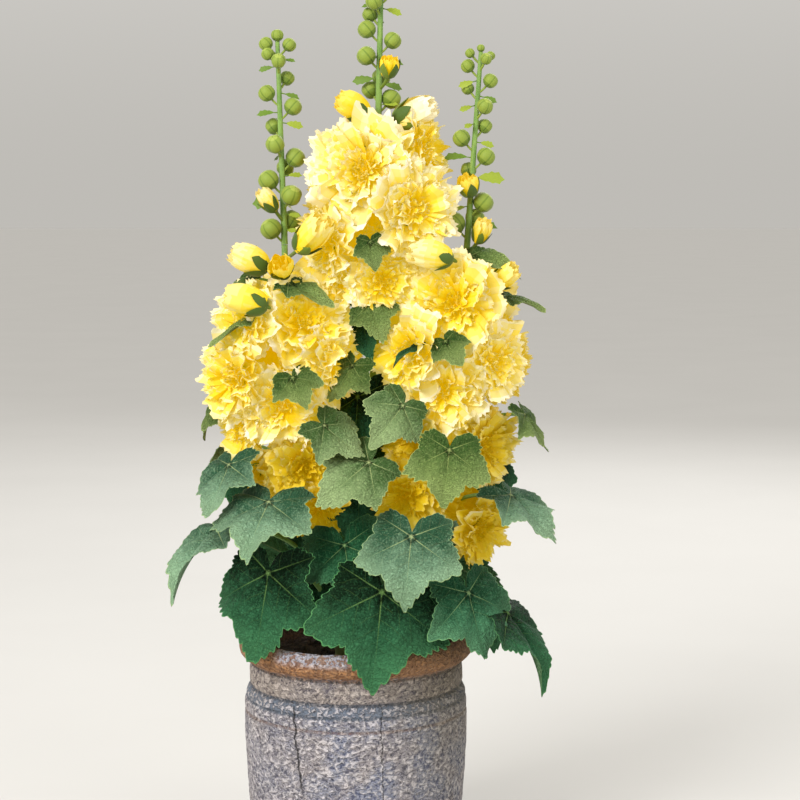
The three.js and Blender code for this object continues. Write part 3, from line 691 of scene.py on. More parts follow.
def new_node(tree, kind, inputs, **settings):
    """A node with its settings, and its inputs wired or set by name or number."""
    node = tree.nodes.new(kind)
    for key, value in settings.items():
        setattr(node, key, value)
    for key, value in inputs.items():
        if isinstance(value, Wire):
            value.goes_to(node.inputs[key])
        else:
            node.inputs[key].default_value = value
    return node


def wire(tree, output, kind, inputs, **settings):
    """The wire from one output of a new node."""
    return Wire(tree, new_node(tree, kind, inputs, **settings).outputs[output])


def calc(operation, *values):
    tree = next(value.tree for value in values if isinstance(value, Wire))
    return wire(tree, 0, "ShaderNodeMath", dict(enumerate(values)), operation=operation)


def larger(first, second):
    return calc("MAXIMUM", first, second)


def smaller(first, second):
    return calc("MINIMUM", first, second)


def vector_calc(operation, first, second):
    return wire(first.tree, 0, "ShaderNodeVectorMath", {0: first, 1: second}, operation=operation)


def axes(vector):
    """The X, Y and Z of a vector."""
    node = new_node(vector.tree, "ShaderNodeSeparateXYZ", {0: vector})
    return [Wire(vector.tree, socket) for socket in node.outputs]


def ramp(value, low, high, start=0.0, end=1.0):
    """The value eased from start to end while it goes from low to high."""
    inputs = {"Value": value, "From Min": low, "From Max": high, "To Min": start, "To Max": end}
    return wire(value.tree, 0, "ShaderNodeMapRange", inputs, interpolation_type="SMOOTHSTEP")


def blend(share, first, second):
    """Two colours, or colour codes, mixed by a share."""
    first, second = (colour(tone) if isinstance(tone, str) else tone for tone in (first, second))
    return wire(share.tree, 2, "ShaderNodeMix", {0: share, 6: first, 7: second}, data_type="RGBA")


def cloud(vector, scale, detail=3.0, rough=0.55):
    inputs = {"Vector": vector, "Scale": scale, "Detail": detail, "Roughness": rough}
    return wire(vector.tree, "Fac", "ShaderNodeTexNoise", inputs)


def cell_edges(vector, scale):
    """Distance from the edges of a net of cells."""
    inputs = {"Vector": vector, "Scale": scale}
    return wire(vector.tree, "Distance", "ShaderNodeTexVoronoi", inputs, feature="DISTANCE_TO_EDGE")


def stretched(vector, scale):
    return wire(vector.tree, 0, "ShaderNodeMapping", {"Vector": vector, "Scale": scale})


def new_group(name, measure):
    """A node group with a vector and one measure as its inputs."""
    tree = bpy.data.node_groups.new(name, "ShaderNodeTree")
    tree.interface.new_socket("Vector", in_out="INPUT", socket_type="NodeSocketVector")
    tree.interface.new_socket(measure, in_out="INPUT", socket_type="NodeSocketFloat")
    inputs = tree.nodes.new("NodeGroupInput").outputs
    return tree, Wire(tree, inputs["Vector"]), Wire(tree, inputs[measure])


def close_group(tree, **results):
    """Puts the results out of the group by name."""
    for label in results:
        tree.interface.new_socket(label, in_out="OUTPUT", socket_type="NodeSocketFloat")
    ends = tree.nodes.new("NodeGroupOutput").inputs
    for label, result in results.items():
        result.goes_to(ends[label])
    return tree


def use_group(group, **inputs):
    """The group placed in the tree of its vector, and its outputs by name."""
    tree = inputs["Vector"].tree
    outputs = new_node(tree, "ShaderNodeGroup", inputs, node_tree=group).outputs
    return {socket.name: Wire(tree, socket) for socket in outputs}


def new_finish(name, roughness, sheen=0.0):
    """A material, the inputs of its shader, and the object's own coordinates."""
    finish = bpy.data.materials.new(name)
    finish.use_nodes = True
    shader = finish.node_tree.nodes["Principled BSDF"].inputs
    shader["Roughness"].default_value = roughness
    shader["Sheen Weight"].default_value = sheen
    shader["Sheen Roughness"].default_value = 0.4
    return finish, shader, wire(finish.node_tree, "Object", "ShaderNodeTexCoord", {})


def relief(shader, height, strength, distance):
    inputs = {"Height": height, "Strength": strength, "Distance": distance * MM}
    wire(height.tree, 0, "ShaderNodeBump", inputs).goes_to(shader["Normal"])


# Patterns that several finishes share


def pits_group():
    """Small pits of uneven size: a mask of the pits and the height of the surface round them."""
    tree, vector, scale = new_group("surface_pits", "Scale")
    torn = wire(tree, "Color", "ShaderNodeTexNoise", {"Vector": vector, "Scale": scale, "Detail": 2.0})
    moved = vector_calc("ADD", vector, vector_calc("MULTIPLY", torn, (0.004, 0.004, 0.004)))
    cells = wire(tree, "Distance", "ShaderNodeTexVoronoi", {"Vector": moved, "Scale": scale})
    chosen = ramp(cloud(vector, scale * 0.32, 2.0), 0.40, 0.58)
    pits = ramp(cells, 0.10, 0.42, 1.0, 0.0) * chosen
    return close_group(tree, Pits=pits, Height=cloud(vector, scale * 1.7, 4.0, 0.65) - pits)


def crust_group():
    """Short wrinkled ridges with hollows between them, as masks."""
    tree, vector, scale = new_group("wrinkled_crust", "Scale")
    inputs = {"Vector": vector, "Scale": scale, "Detail": 2.2, "Roughness": 0.55, "Distortion": 0.5}
    folds = wire(tree, "Fac", "ShaderNodeTexNoise", inputs)
    return close_group(tree, Ridges=ramp(folds, 0.40, 0.60), Hollows=ramp(folds, 0.355, 0.455, 1.0, 0.0))


def down_group():
    """The soft down and uneven colour of the green parts: broad patches and a fine grain."""
    tree, vector, scale = new_group("green_down", "Scale")
    patches = ramp(cloud(vector, scale, 3.0), 0.34, 0.66)
    return close_group(tree, Patches=patches, Grain=ramp(cloud(vector, scale * 14.0, 3.0, 0.7), 0.3, 0.7))


def veins_group():
    """Veins of a lobed leaf, from its flat map: one main vein to each lobe, side veins off those, a net."""
    tree, vector, spacing = new_group("leaf_veins", "Spacing")
    x, y, _ = axes(vector)
    bearing = calc("ARCTAN2", x, y)
    reach = wire(tree, "Value", "ShaderNodeVectorMath", {0: vector}, operation="LENGTH")
    lobe = calc("ROUND", bearing / radians(LOBE_SPREAD))
    lobe = larger(smaller(lobe, LAST_VEIN), -LAST_VEIN)
    off = bearing - lobe * radians(LOBE_SPREAD)
    across = reach * calc("SINE", off)
    along = reach * calc("COSINE", off)
    away = abs(across)
    main = 1.0 - smaller(away / ramp(along, 0.0, 0.9, 0.0135, 0.003), 1.0)
    count = (along - away * VEIN_SWEEP) / spacing + calc("GREATER_THAN", across, 0.0) * VEIN_SHIFT
    phase = calc("FRACT", count + cloud(vector, 9.0, 2.0) * 0.35)
    side = ramp(smaller(phase, 1.0 - phase), 0.0, 0.055, 1.0, 0.0) * ramp(along, 0.10, 0.2)
    net = ramp(cell_edges(vector, 26.0), 0.0, 0.16, 1.0, 0.0)
    cushion = ramp(cell_edges(vector, 12.0), 0.0, 0.5) * ramp(away, 0.0, 0.06)
    return close_group(tree, Main=main, Side=side, Net=net, Cushion=cushion, Reach=reach)


PITS = pits_group()
CRUST = crust_group()
DOWN = down_group()
VEINS = veins_group()


# Finishes of the pot


def band(height, middle, half, soft):
    """A mask of a level band round the pot."""
    return ramp(abs(height - middle * MM), half * MM, (half + soft) * MM, 1.0, 0.0)


def crack_mask(clay, crack):
    """A thin wandering line down the wall, fading at both ends."""
    azimuth, low, high, wander, width, slope = crack
    height = clay["height"]
    ripple = cloud(stretched(clay["place"], (0.0, 0.0, 1.0)), 45.0 + azimuth * 0.1, 4.0, 0.6)
    off = (clay["azimuth"] - radians(azimuth)) * (CRACK_RADIUS * MM)
    off = off - (ripple - 0.5) * (wander * 6 * MM) - (height - high * MM) * slope
    line = ramp(abs(off) + clay["small"] * (0.8 * MM), width * 0.35 * MM, width * MM, 1.0, 0.0)
    above = ramp(height, low * MM, (low + 12) * MM)
    return line * (above * ramp(height, (high - 8) * MM, high * MM, 1.0, 0.0))


def wall_tone(clay):
    """Grey clay, cooler from the middle to the right, with a painted highlight on its ridges, and dark in
    its hollows, partly the glaze's own blue-grey and partly painted shade.
    """
    cool = ramp(cloud(clay["place"], 30.0, 4.0), 0.40, 0.60) * ramp(clay["side"], *COOL_EDGE, 0.3, 1.0)
    tone = blend(clay["large"], "#ABA5AD", "#BDB1AE")
    tone = blend(cool * 0.85, tone, "#949BB2")
    tone = blend(clay["small"] * 0.25, tone, "#CBC8CD")
    # Painted highlight: the ridges of the crust lighter
    tone = blend(ramp(clay["ridges"], 0.6, 1.0, 0.0, 0.55), tone, "#E0D8D6")
    # The hollows dark blue-grey: partly the glaze's own colour, partly painted shade
    return blend(clay["hollows"] * 0.85, tone, blend(cool, "#4A4852", "#373E5C"))


def stained_and_shaded_tone(clay, tone):
    """Stains of the neck, the shoulder and the grooves, dark pits, and a darker olive right side that is
    painted shade.
    """
    height, ridges, hollows = clay["height"], clay["ridges"], clay["hollows"]
    tone = blend(band(height, *NECK_BAND) * 0.5, tone, blend(hollows, "#B8A48C", "#65564A"))
    tone = blend(band(height, *SHOULDER_BAND) * ramp(ridges, 0.3, 1.0, 0.8, 0.15), tone, "#6F7B8A")
    for middle, code, share in GROOVES:
        line = band(height, middle, *GROOVE_BAND) * share
        tone = blend(line * ramp(clay["small"], 0.0, 1.0, 1.0, 0.5), tone, code)
    tone = blend(clay["pits"] * 0.7, tone, "#3E4250")
    # Painted shade: the right side of the wall darker and olive, away from the key light
    painted_shade_side = ramp(clay["side"], *SHADED_SIDE_EDGE, 0.0, 0.65) * ramp(height, 0.06, 0.2, 0.5, 1.0)
    return blend(painted_shade_side, tone, blend(hollows, "#7E735A", "#4A443C"))


def rim_tone(clay):
    """Rusty brown, lighter on its ridges, which is a painted highlight, and darker and greyer on its right
    side, which is painted shade.
    """
    # Painted highlight: the rim lighter on its ridges
    tone = blend(clay["ridges"], "#7A4A26", "#BC8350")
    tone = blend(clay["small"] * 0.35, tone, "#B99A7C")
    tone = blend(clay["large"] * 0.5, tone, "#A07C5A")
    tone = blend(clay["pits"] * 0.6, tone, "#53361F")
    # Painted shade: the right side of the rim darker and greyer
    return blend(ramp(clay["side"], *SHADED_RIM_EDGE, 0.0, 0.5), tone, "#6E5536")


def pot_finish():
    """Wrinkled grey clay with a rusty rim, lime on its front, cracks and a dark inner wall."""
    finish, shader, place = new_finish("weathered_clay", 0.85)
    x, y, height = axes(place)
    crust = use_group(CRUST, Vector=stretched(place, (1.0, 1.0, 1.25)), Scale=215.0)
    clay = {
        "place": place, "side": x, "height": height, "azimuth": calc("ARCTAN2", x, y * -1.0),
        "ridges": crust["Ridges"], "hollows": crust["Hollows"],
        "pits": use_group(PITS, Vector=place, Scale=300.0)["Pits"],
        "large": ramp(cloud(place, 14.0, 3.0), 0.36, 0.64),
        "small": ramp(cloud(place, 420.0, 3.0, 0.65), 0.36, 0.64),
    }
    small, ridges = clay["small"], clay["ridges"]
    rim = ramp(height + small * 0.004, *RIM_EDGE)
    tone = blend(rim, stained_and_shaded_tone(clay, wall_tone(clay)), rim_tone(clay))
    lime = ramp(abs(clay["azimuth"] - radians(LIME_AZIMUTH)), 0.28, 0.42, 1.0, 0.0)
    lime = lime * ramp(height, *LIME_EDGE) * ramp(ridges, 0.0, 0.6, 0.15, 0.9)
    tone = blend(lime, tone, blend(small, "#A3A9BC", "#CFCCD2"))
    crack = larger(*[crack_mask(clay, crack) for crack in CRACKS])
    tone = blend(crack * 0.9, tone, "#2B2828")
    inner = ramp(calc("SQRT", x * x + y * y), *INNER_EDGE, 1.0, 0.0) * ramp(height, *FOOT_EDGE)
    tone = blend(inner * 0.75, tone, "#54423A")
    tone.goes_to(shader["Base Color"])
    ramp(lime, 0.0, 1.0, 0.88, 0.55).goes_to(shader["Roughness"])
    bumps = ridges * ramp(rim, 0.0, 1.0, 1.0, 0.45) + small * 0.25 - clay["pits"] * 0.4 - crack * 2.5
    relief(shader, bumps, 1.0, 4.2)
    return finish


def soil_finish():
    finish, shader, place = new_finish("potting_mix", 0.96)
    pits = use_group(PITS, Vector=place, Scale=240.0)
    tone = blend(ramp(cloud(place, 120.0, 5.0, 0.7), 0.35, 0.65), "#1E1712", "#4A3A2C")
    blend(pits["Pits"] * 0.6, tone, "#120D0A").goes_to(shader["Base Color"])
    relief(shader, pits["Height"], 0.9, 2)
    return finish


# Finishes of the plant


def stem_finish():
    finish, shader, place = new_finish("stem_skin", 0.62, 0.15)
    down = use_group(DOWN, Vector=place, Scale=60.0)
    streaks = ramp(cloud(stretched(place, (1.0, 1.0, 0.06)), 700.0, 3.0, 0.6), 0.35, 0.65)
    tone = blend(down["Patches"], "#5C8434", "#7A9C44")
    tone = blend(streaks * 0.45, tone, "#96B25A")
    tone = blend(ramp(axes(place)[2], 0.21, 0.26, 0.6, 0.0), tone, "#8A7A50")
    tone.goes_to(shader["Base Color"])
    relief(shader, down["Grain"] + streaks, 0.45, 0.6)
    return finish


def leaf_finish(name, greens, roughness, vein_share, tip_light_over_base_shade):
    """The face or back of a leaf: quilted between its veins, with painted shade in its creases and on its
    darker base, light specks as a painted sheen of its down, lighter towards its tip and rim.
    """
    deep, pale, vein, rim = greens
    finish, shader, place = new_finish(name, roughness)
    shader["Specular IOR Level"].default_value = 0.1
    flat = wire(place.tree, 0, "ShaderNodeUVMap", {}, uv_map=LEAF_MAP)
    veins = use_group(VEINS, Vector=flat, Spacing=VEIN_SPACING)
    down = use_group(DOWN, Vector=place, Scale=42.0)
    grain, reach = down["Grain"], veins["Reach"]
    # Darker at the base and lighter towards the tip: painted shade on the base, which lies under the leaves
    # above
    light = ramp(axes(flat)[1], -0.3, 0.95, -0.06, tip_light_over_base_shade)
    # The cushions lighten the faces between the creases and main veins, which paints shade in the creases;
    # the patches and grain are the leaf's own uneven colour
    for value, share in ((down["Patches"], 0.32), (veins["Cushion"], 0.3), (grain, 0.3)):
        light = light + (value - 0.4) * share
    tone = blend(larger(light, 0.0), deep, pale)
    tone = blend(ramp(reach, 0.5, 1.0, 0.0, 0.4), tone, rim)
    # Light specks in the rim's green: a painted sheen of the leaf's down
    tone = blend(ramp(grain, 0.62, 1.0, 0.0, 0.25), tone, rim)
    lines = larger(veins["Main"], veins["Side"] * 0.26)
    lines = larger(lines, ramp(reach, 0.015, 0.05, 1.0, 0.0)) * ramp(reach, 0.1, 0.85, 1.0, 0.2)
    blend(lines * vein_share, tone, vein).goes_to(shader["Base Color"])
    ramp(grain, 0.0, 1.0, roughness - 0.08, roughness + 0.08).goes_to(shader["Roughness"])
    sunk = veins["Net"] * 0.45 + veins["Side"] * 0.25
    relief(shader, grain * 0.3 - sunk + veins["Cushion"] * 1.2, 1.0, 2.2)
    return finish


def plain_finish(name, code, roughness=0.6, sheen=0.0, painted_glow=0.0):
    finish, shader, _ = new_finish(name, roughness, sheen)
    shader["Base Color"].default_value = colour(code)
    # Petals get a painted glow here: an emission that stands in for light coming through them
    shader["Emission Color"].default_value = colour(PAINTED_GLOW_TINT)
    shader["Emission Strength"].default_value = painted_glow
    shader["Specular IOR Level"].default_value = 0.3
    return finish


def leaf_finishes(tone):
    """The finishes of a leaf in the order of its slots: face, back, stalk, rim."""
    face, back, edge, settings = LEAF_GREENS[tone]
    return [
        leaf_finish(f"leaf_face_{tone}", face, *settings),
        leaf_finish(f"leaf_back_{tone}", back, *LEAF_BACK_SETTINGS),
        STALK,
        plain_finish(f"leaf_rim_{tone}", edge),
    ]


def petal_finishes(tone):
    painted_glows = np.linspace(*PAINTED_PETAL_GLOW[tone], len(PETAL_TINTS))
    return [
        plain_finish(f"petal_{tone}_{i}", code, 0.62, 0.0, painted_glow)
        for i, (code, painted_glow) in enumerate(zip(PETAL_TINTS, painted_glows))
    ]


CLAY = pot_finish()
SOIL = soil_finish()
STEM = stem_finish()
STALK = plain_finish("leaf_stalk", "#86AE5E", 0.6, 0.1)
LEAVES_OF_TONE = {tone: leaf_finishes(tone) for tone in LEAF_GREENS}
PETALS = {tone: petal_finishes(tone) for tone in PAINTED_PETAL_GLOW}
BUD_SKINS = [plain_finish(f"bud_tint_{i}", code, 0.6, 0.15) for i, code in enumerate(BUD_TINTS)]
BRACT_SKINS = [plain_finish(f"bract_tint_{i}", code, 0.6) for i, code in enumerate(BRACT_TINTS)]


# Pot and soil


def spaced(line, spacing):
    """The line of points with more of them, so that none are further apart than the spacing."""
    points = [line[0]]
    for start, end in zip(line, line[1:]):
        steps = max(1, math.ceil(math.dist(start, end) / spacing))
        for i in range(1, steps + 1):
            points.append(tuple(a + (b - a) * i / steps for a, b in zip(start, end)))
    return points


def edit(piece):
    bpy.context.view_layer.objects.active = piece
    bpy.ops.object.mode_set(mode="EDIT")


def select_faces(piece, test):
    """Leaves the piece in edit mode, with only the faces selected that pass the test."""
    edit(piece)
    bpy.ops.mesh.select_all(action="DESELECT")
    bpy.ops.object.mode_set(mode="OBJECT")
    for face in piece.data.polygons:
        face.select = test(face)
    edit(piece)


def close_skin():
    """Turns all faces outwards, makes them smooth and leaves edit mode."""
    bpy.ops.mesh.select_all(action="SELECT")
    bpy.ops.mesh.normals_make_consistent(inside=False)
    bpy.ops.mesh.faces_shade_smooth()
    bpy.ops.object.mode_set(mode="OBJECT")
    bpy.ops.object.select_all(action="DESELECT")


def new_primitive(name, adder, **sizes):
    """A primitive at its size and place, with its place in its mesh."""
    bpy.ops.object.select_all(action="DESELECT")
    adder(**sizes)
    piece = bpy.context.object
    bpy.ops.object.transform_apply(location=True, rotation=True, scale=True)
    piece.name = name
    piece.data.name = name
    return piece


def roughen(piece, layers, test):
    """Moves the points that pass the test along their normals, by one pattern after the other."""
    points = [v.index for v in piece.data.vertices if test(v.co)]
    piece.vertex_groups.new(name="rough").add(points, 1.0, "REPLACE")
    bpy.context.view_layer.objects.active = piece
    for kind, size, strength in layers:
        pattern = bpy.data.textures.new(f"{piece.name}_{kind.lower()}_{size}", kind)
        pattern.noise_scale = size
        change = piece.modifiers.new("relief", "DISPLACE")
        change.texture = pattern
        change.strength = strength
        change.mid_level = 0.5
        change.vertex_group = "rough"
        bpy.ops.object.modifier_apply(modifier=change.name)


def make_pot():
    """The wall's outline, extruded from one point and spun about the pot's axis."""
    line = spaced(POT_WALL, WALL_SPACING)
    pot = new_primitive("clay_pot", bpy.ops.mesh.primitive_plane_add, size=0.01)
    edit(pot)
    bpy.ops.mesh.select_all(action="SELECT")
    bpy.ops.mesh.merge(type="CENTER")
    for start, end in zip(line, line[1:]):
        step = ((end[0] - start[0]) * MM, 0, (end[1] - start[1]) * MM)
        bpy.ops.mesh.extrude_region_move(TRANSFORM_OT_translate={"value": step})
    bpy.ops.mesh.select_all(action="SELECT")
    bpy.ops.mesh.spin(steps=POT_STEPS, angle=2 * math.pi, center=(0, 0, 0), axis=(0, 0, 1))
    bpy.ops.mesh.select_all(action="SELECT")
    bpy.ops.mesh.remove_doubles(threshold=SEAM_GAP * MM)
    close_skin()
    roughen(pot, POT_RELIEF, lambda co: co.z > FOOT_EDGE[1] and math.hypot(co.x, co.y) > INNER_EDGE[0])
    pot.data.materials.append(CLAY)
    dress(pot, "clay", "pot")


def make_soil():
    """A plug that narrows downward, with rings of faces on its top for the relief."""
    depth = (SOIL_TOP - SOIL_FLOOR) * MM
    middle = SOIL_FLOOR * MM + depth / 2
    soil = new_primitive(
        "soil_fill", bpy.ops.mesh.primitive_cylinder_add, vertices=SOIL_SIDES,
        radius=SOIL_TOP_RADIUS * MM, depth=depth, location=(0, 0, middle),
    )
    share = SOIL_FLOOR_RADIUS / SOIL_TOP_RADIUS
    select_faces(soil, lambda face: face.normal.z < -LEVEL)
    bpy.ops.transform.resize(value=(share, share, 1), center_override=(0, 0, SOIL_FLOOR * MM))
    select_faces(soil, lambda face: face.normal.z > LEVEL)
    for _ in range(SOIL_RINGS):
        bpy.ops.mesh.inset(thickness=SOIL_RING_WIDTH * MM, depth=0)
    bpy.ops.mesh.poke()
    close_skin()
    rough_radius = (SOIL_TOP_RADIUS - SOIL_EDGE) * MM
    roughen(soil, SOIL_RELIEF, lambda co: co.z > middle and math.hypot(co.x, co.y) < rough_radius)
    soil.data.materials.append(SOIL)
    dress(soil, "potting_soil", "soil")


def make_crumbs():
    """Loose crumbs that lie on the soil."""
    start = new_primitive("crumb_start", bpy.ops.mesh.primitive_ico_sphere_add, subdivisions=2, radius=1)
    ball = np.array([v.co for v in start.data.vertices], float)
    faces = np.array([p.vertices for p in start.data.polygons])
    bpy.data.objects.remove(start)
    heap = Heap()
    least, play = CRUMB_RADIUS
    for i in range(CRUMB_COUNT):
        reach = CRUMB_REACH * math.sqrt(chance(i + 0.3))
        turn = 2 * math.pi * chance(i + 0.7)
        size = least + play * chance(i + 0.1) ** 2
        squash = 0.7 + 0.5 * chances(i, 3)
        knobs = 1 + 0.35 * (chances(i + 0.5, len(ball)) - 0.5)
        centre = np.array([reach * math.cos(turn), reach * math.sin(turn), SOIL_TOP + size * 0.45])
        heap.add(ball * knobs[:, None] * squash * size + centre, [(faces, 0)])
    dress(heap.piece("soil_crumbs", [SOIL]), "potting_soil")


# Stems


def stem_radius(name, height):
    """Flared at the soil, tapering upward, and a little thicker where a leaf stalk leaves."""
    above = height - STEM_FOOT
    share = above / (STEMS[name]["top_height"] - STEM_FOOT)
    plain = STEM_LOW_RADIUS + (STEM_TOP_RADIUS - STEM_LOW_RADIUS) * share
    flare = (FLARE_RADIUS - STEM_LOW_RADIUS) * max(0, 1 - above / FLARE_HEIGHT) ** 2
    joints = [row[5] for row in LEAVES if row[1] == name]
    swell = sum(JOINT_SWELL * math.exp(-(((height - joint) / JOINT_LENGTH) ** 2)) for joint in joints)
    return plain + flare + swell - STEM_INSET


def make_stem(name):
    """A circle, extruded up the stem's line ring by ring."""
    top = STEMS[name]["top_height"]
    heights = [STEM_FOOT + (top - STEM_FOOT) * (i / STEM_RINGS) for i in range(STEM_RINGS + 1)]
    stem = new_primitive(
        f"{name}_stem", bpy.ops.mesh.primitive_circle_add, vertices=STEM_SIDES, fill_type="NGON",
        radius=stem_radius(name, STEM_FOOT) * MM, location=tuple(stem_point(name, STEM_FOOT) * MM),
    )
    edit(stem)
    bpy.ops.mesh.select_all(action="SELECT")
    for low, high in zip(heights, heights[1:]):
        centre = stem_point(name, high) * MM
        step = centre - stem_point(name, low) * MM
        bpy.ops.mesh.extrude_region_move(TRANSFORM_OT_translate={"value": tuple(step)})
        share = stem_radius(name, high) / stem_radius(name, low)
        bpy.ops.transform.resize(value=(share, share, 1), center_override=tuple(centre))
    close_skin()
    roughen(stem, STEM_RELIEF, lambda co: STEM_FOOT + 1 < co.z / MM < top - 1)
    stem.data.materials.append(STEM)
    dress(stem, "stem_green", f"stem_{name}")


# Leaves


def blade_edge(angles, side, back):
    """Edge of a blade as a share of its length, at angles from its tip."""
    turn = np.abs((angles + 540) % 360 - 180)
    reaches = [1, side, back * 1.04, back, back * 0.62, SINUS * 1.8, SINUS]
    share = np.interp(turn, BLADE_TURNS, reaches)
    lobes = LOBE_DEPTH * np.cos(np.radians(LOBES_ROUND * turn))
    shoulders = SHOULDER_DEPTH * np.cos(np.radians(3 * LOBES_ROUND * turn))
    return share * np.where(turn > SINUS_TURN, 1, 1 + lobes + shoulders)


def toothed(angles, edge, teeth, depth, seed):
    """The edge with rounded teeth, uneven in size."""
    place = angles * teeth / 360 + 0.3 * np.sin(np.radians(angles * 5) + seed)
    phase = place % 1
    saw = np.interp(phase, [0, 0.3, 0.55, 0.85, 1], [0, 0.85, 1, 0.55, 0])
    size = 0.3 + 1.1 * np.abs(np.sin(np.floor(place) * 12.9 + seed))
    turn = np.abs((angles + 540) % 360 - 180)
    fade = np.interp(turn, [150, 176], [1, 0])
    return edge * (1 + depth * fade * size * (saw - 0.5))


def blade_height(x, y, seed):
    """Lift of the blade over its flat shape, all as shares of its length."""
    reach = np.hypot(x, y)
    bearing = np.arctan2(x, y)
    spread = radians(LOBE_SPREAD)
    off = bearing - spread * np.clip(np.round(bearing / spread), -LAST_VEIN, LAST_VEIN)
    away = np.abs(reach * np.sin(off))
    along = reach * np.cos(off)
    bend = BLADE_WAVE * reach * np.cos(LOBES_ROUND * bearing) - BLADE_BEND * reach ** 2
    count = (along - VEIN_SWEEP * away) / VEIN_SPACING + np.where(off > 0, VEIN_SHIFT, 0)
    cushion = np.abs(np.sin(math.pi * count)) ** 0.7
    cushion = cushion * np.minimum(1, away / 0.08) * np.minimum(1, reach / 0.25)
    furrow = np.exp(-((away / 0.05) ** 2)) * np.minimum(1, reach / 0.15)
    flutter = BLADE_FLUTTER * np.sin(3 * bearing + seed) * reach ** 2
    ripple = BLADE_RIPPLE * np.sin(9 * bearing + seed * 2.3) * reach ** 4
    return bend + BLADE_CUSHION * cushion - BLADE_FURROW * furrow + flutter + ripple


def add_blade(heap, place, basis, length, side, back, cut, seed):
    """A blade with a face and a back that meet at its rim."""
    steps, rings, teeth = cut
    angles = 360 * np.arange(steps) / steps
    depth = TOOTH_DEPTH if length > SMALL_LENGTH else SMALL_TOOTH_DEPTH
    edge = toothed(angles, blade_edge(angles, side, back), teeth, depth, seed)
    share = np.append((np.arange(1, rings) / (rings - 1)) ** 0.9 * RIM_START, 1.0)[:, None]
    turn = np.radians(angles)
    x = (-np.sin(turn) * edge * share).ravel()
    y = (np.cos(turn) * edge * share).ravel()
    face = np.stack([x, y, blade_height(x, y, seed)], -1) * length
    under = face[:-steps] - [0, 0, BLADE_SKIN]
    centre = np.array([[0, 0, 0], [0, 0, -BLADE_SKIN]])
    local = np.vstack([face, under, centre])
    count = rings * steps
    inner = count - steps
    face_quads = ring_faces(rings, steps)
    back_quads = face_quads.copy()
    back_quads[back_quads < inner] += count
    first = np.arange(steps)
    groups = [
        (face_quads, np.where(face_quads.max(1) >= inner, RIM_SLOT, FACE_SLOT)),
        (fan_faces(count + inner, first), FACE_SLOT),
        (back_quads[:, ::-1], BACK_SLOT),
        (fan_faces(count + inner + 1, first + count, True), BACK_SLOT),
    ]
    heap.add(local @ basis + place, groups, local[:, :2] / length)


def leaf_slot(tone):
    return "leaf_dark" if tone in ("dark", "cool") else "leaf_grey_green"


def make_leaf(row, seed):
    name, stem, azimuth, reach, height, foot, length, side, back, droop, roll, tone = row
    place = around(stem, azimuth, reach, height)
    basis = blade_basis(azimuth, droop, roll)
    heap = Heap()
    cut = LARGE_BLADE if length > LARGE_LENGTH else MIDDLE_BLADE
    add_blade(heap, place, basis, length, side, back, cut, seed)
    end = place - basis[2] * STALK_DROP
    root = stem_point(stem, foot)
    bend = root + outward(azimuth) * reach * STALK_OUT
    bend[2] = foot + max(0, end[2] - foot) * STALK_RISE + reach * STALK_ARCH
    radii = [STALK_FOOT_RADIUS * STALK_SWELL, STALK_FOOT_RADIUS, STALK_RADIUS]
    radii = np.interp(np.arange(STALK_STEPS + 1), [0, 2, STALK_STEPS], radii)
    tube(heap, curve_points(root, bend, end, STALK_STEPS), radii, STALK_SIDES, STALK_SLOT)
    dress(heap.piece(f"{name}_blade", LEAVES_OF_TONE[tone], LEAF_MAP), leaf_slot(tone), name)


def make_small_leaves(tone):
    """All small and inner leaves of one tone, each on its own stalk."""
    heap = Heap()
    for i, row in enumerate(SMALL_LEAVES + INNER_LEAVES):
        stem, place, azimuth, length, side, droop, roll, twist, own_tone = row
        if own_tone != tone:
            continue
        place = np.array(place, float)
        basis = twisted(blade_basis(azimuth, droop, roll), twist)
        add_blade(heap, place, basis, length, side, side * SMALL_BACK, SMALL_BLADE, i * 1.7)
        root = stem_point(stem, place[2] - PEDICEL_DROP)
        bend = (root + place) / 2 + UP * 3
        end = place - basis[2] * STALK_DROP
        twig(heap, root, bend, end, SMALL_STALK_RADII, SMALL_STALK_STEPS, STALK_SLOT)
    dress(heap.piece(f"small_leaves_{tone}", LEAVES_OF_TONE[tone], LEAF_MAP), leaf_slot(tone))


# Flowers

RIM_COUNT = PETAL_COLUMNS * RIM_PARTS
BODY_ALONG = np.linspace(0, 0.9, PETAL_ROWS + 1) ** 0.9
BODY_ACROSS = np.linspace(-1, 1, PETAL_COLUMNS + 1)
SHARE_ALONG = np.concatenate([np.repeat(BODY_ALONG, PETAL_COLUMNS + 1), np.ones(RIM_COUNT + 1)])
SHARE_ACROSS = np.concatenate([np.tile(BODY_ACROSS, PETAL_ROWS + 1), np.linspace(-1, 1, RIM_COUNT + 1)])
ON_RIM = SHARE_ALONG == 1
TEETH = np.where(np.arange(len(SHARE_ALONG)) % 2, 1.0, -1.0)


def petal_mesh():
    """Faces of a petal: a grid, and a finer row along its ragged rim."""
    body = ring_faces(PETAL_ROWS + 1, PETAL_COLUMNS + 1, False)
    low = PETAL_ROWS * (PETAL_COLUMNS + 1) + np.arange(PETAL_COLUMNS)
    rim = (PETAL_ROWS + 1) * (PETAL_COLUMNS + 1) + np.arange(PETAL_COLUMNS) * RIM_PARTS
    middle = np.stack([low, low + 1, rim + 2, rim + 1], -1)
    before = np.stack([low, rim + 1, rim], -1)
    after = np.stack([low + 1, rim + 3, rim + 2], -1)
    return body, middle, before, after


PETAL_BODY, RIM_MIDDLE, RIM_BEFORE, RIM_AFTER = petal_mesh()


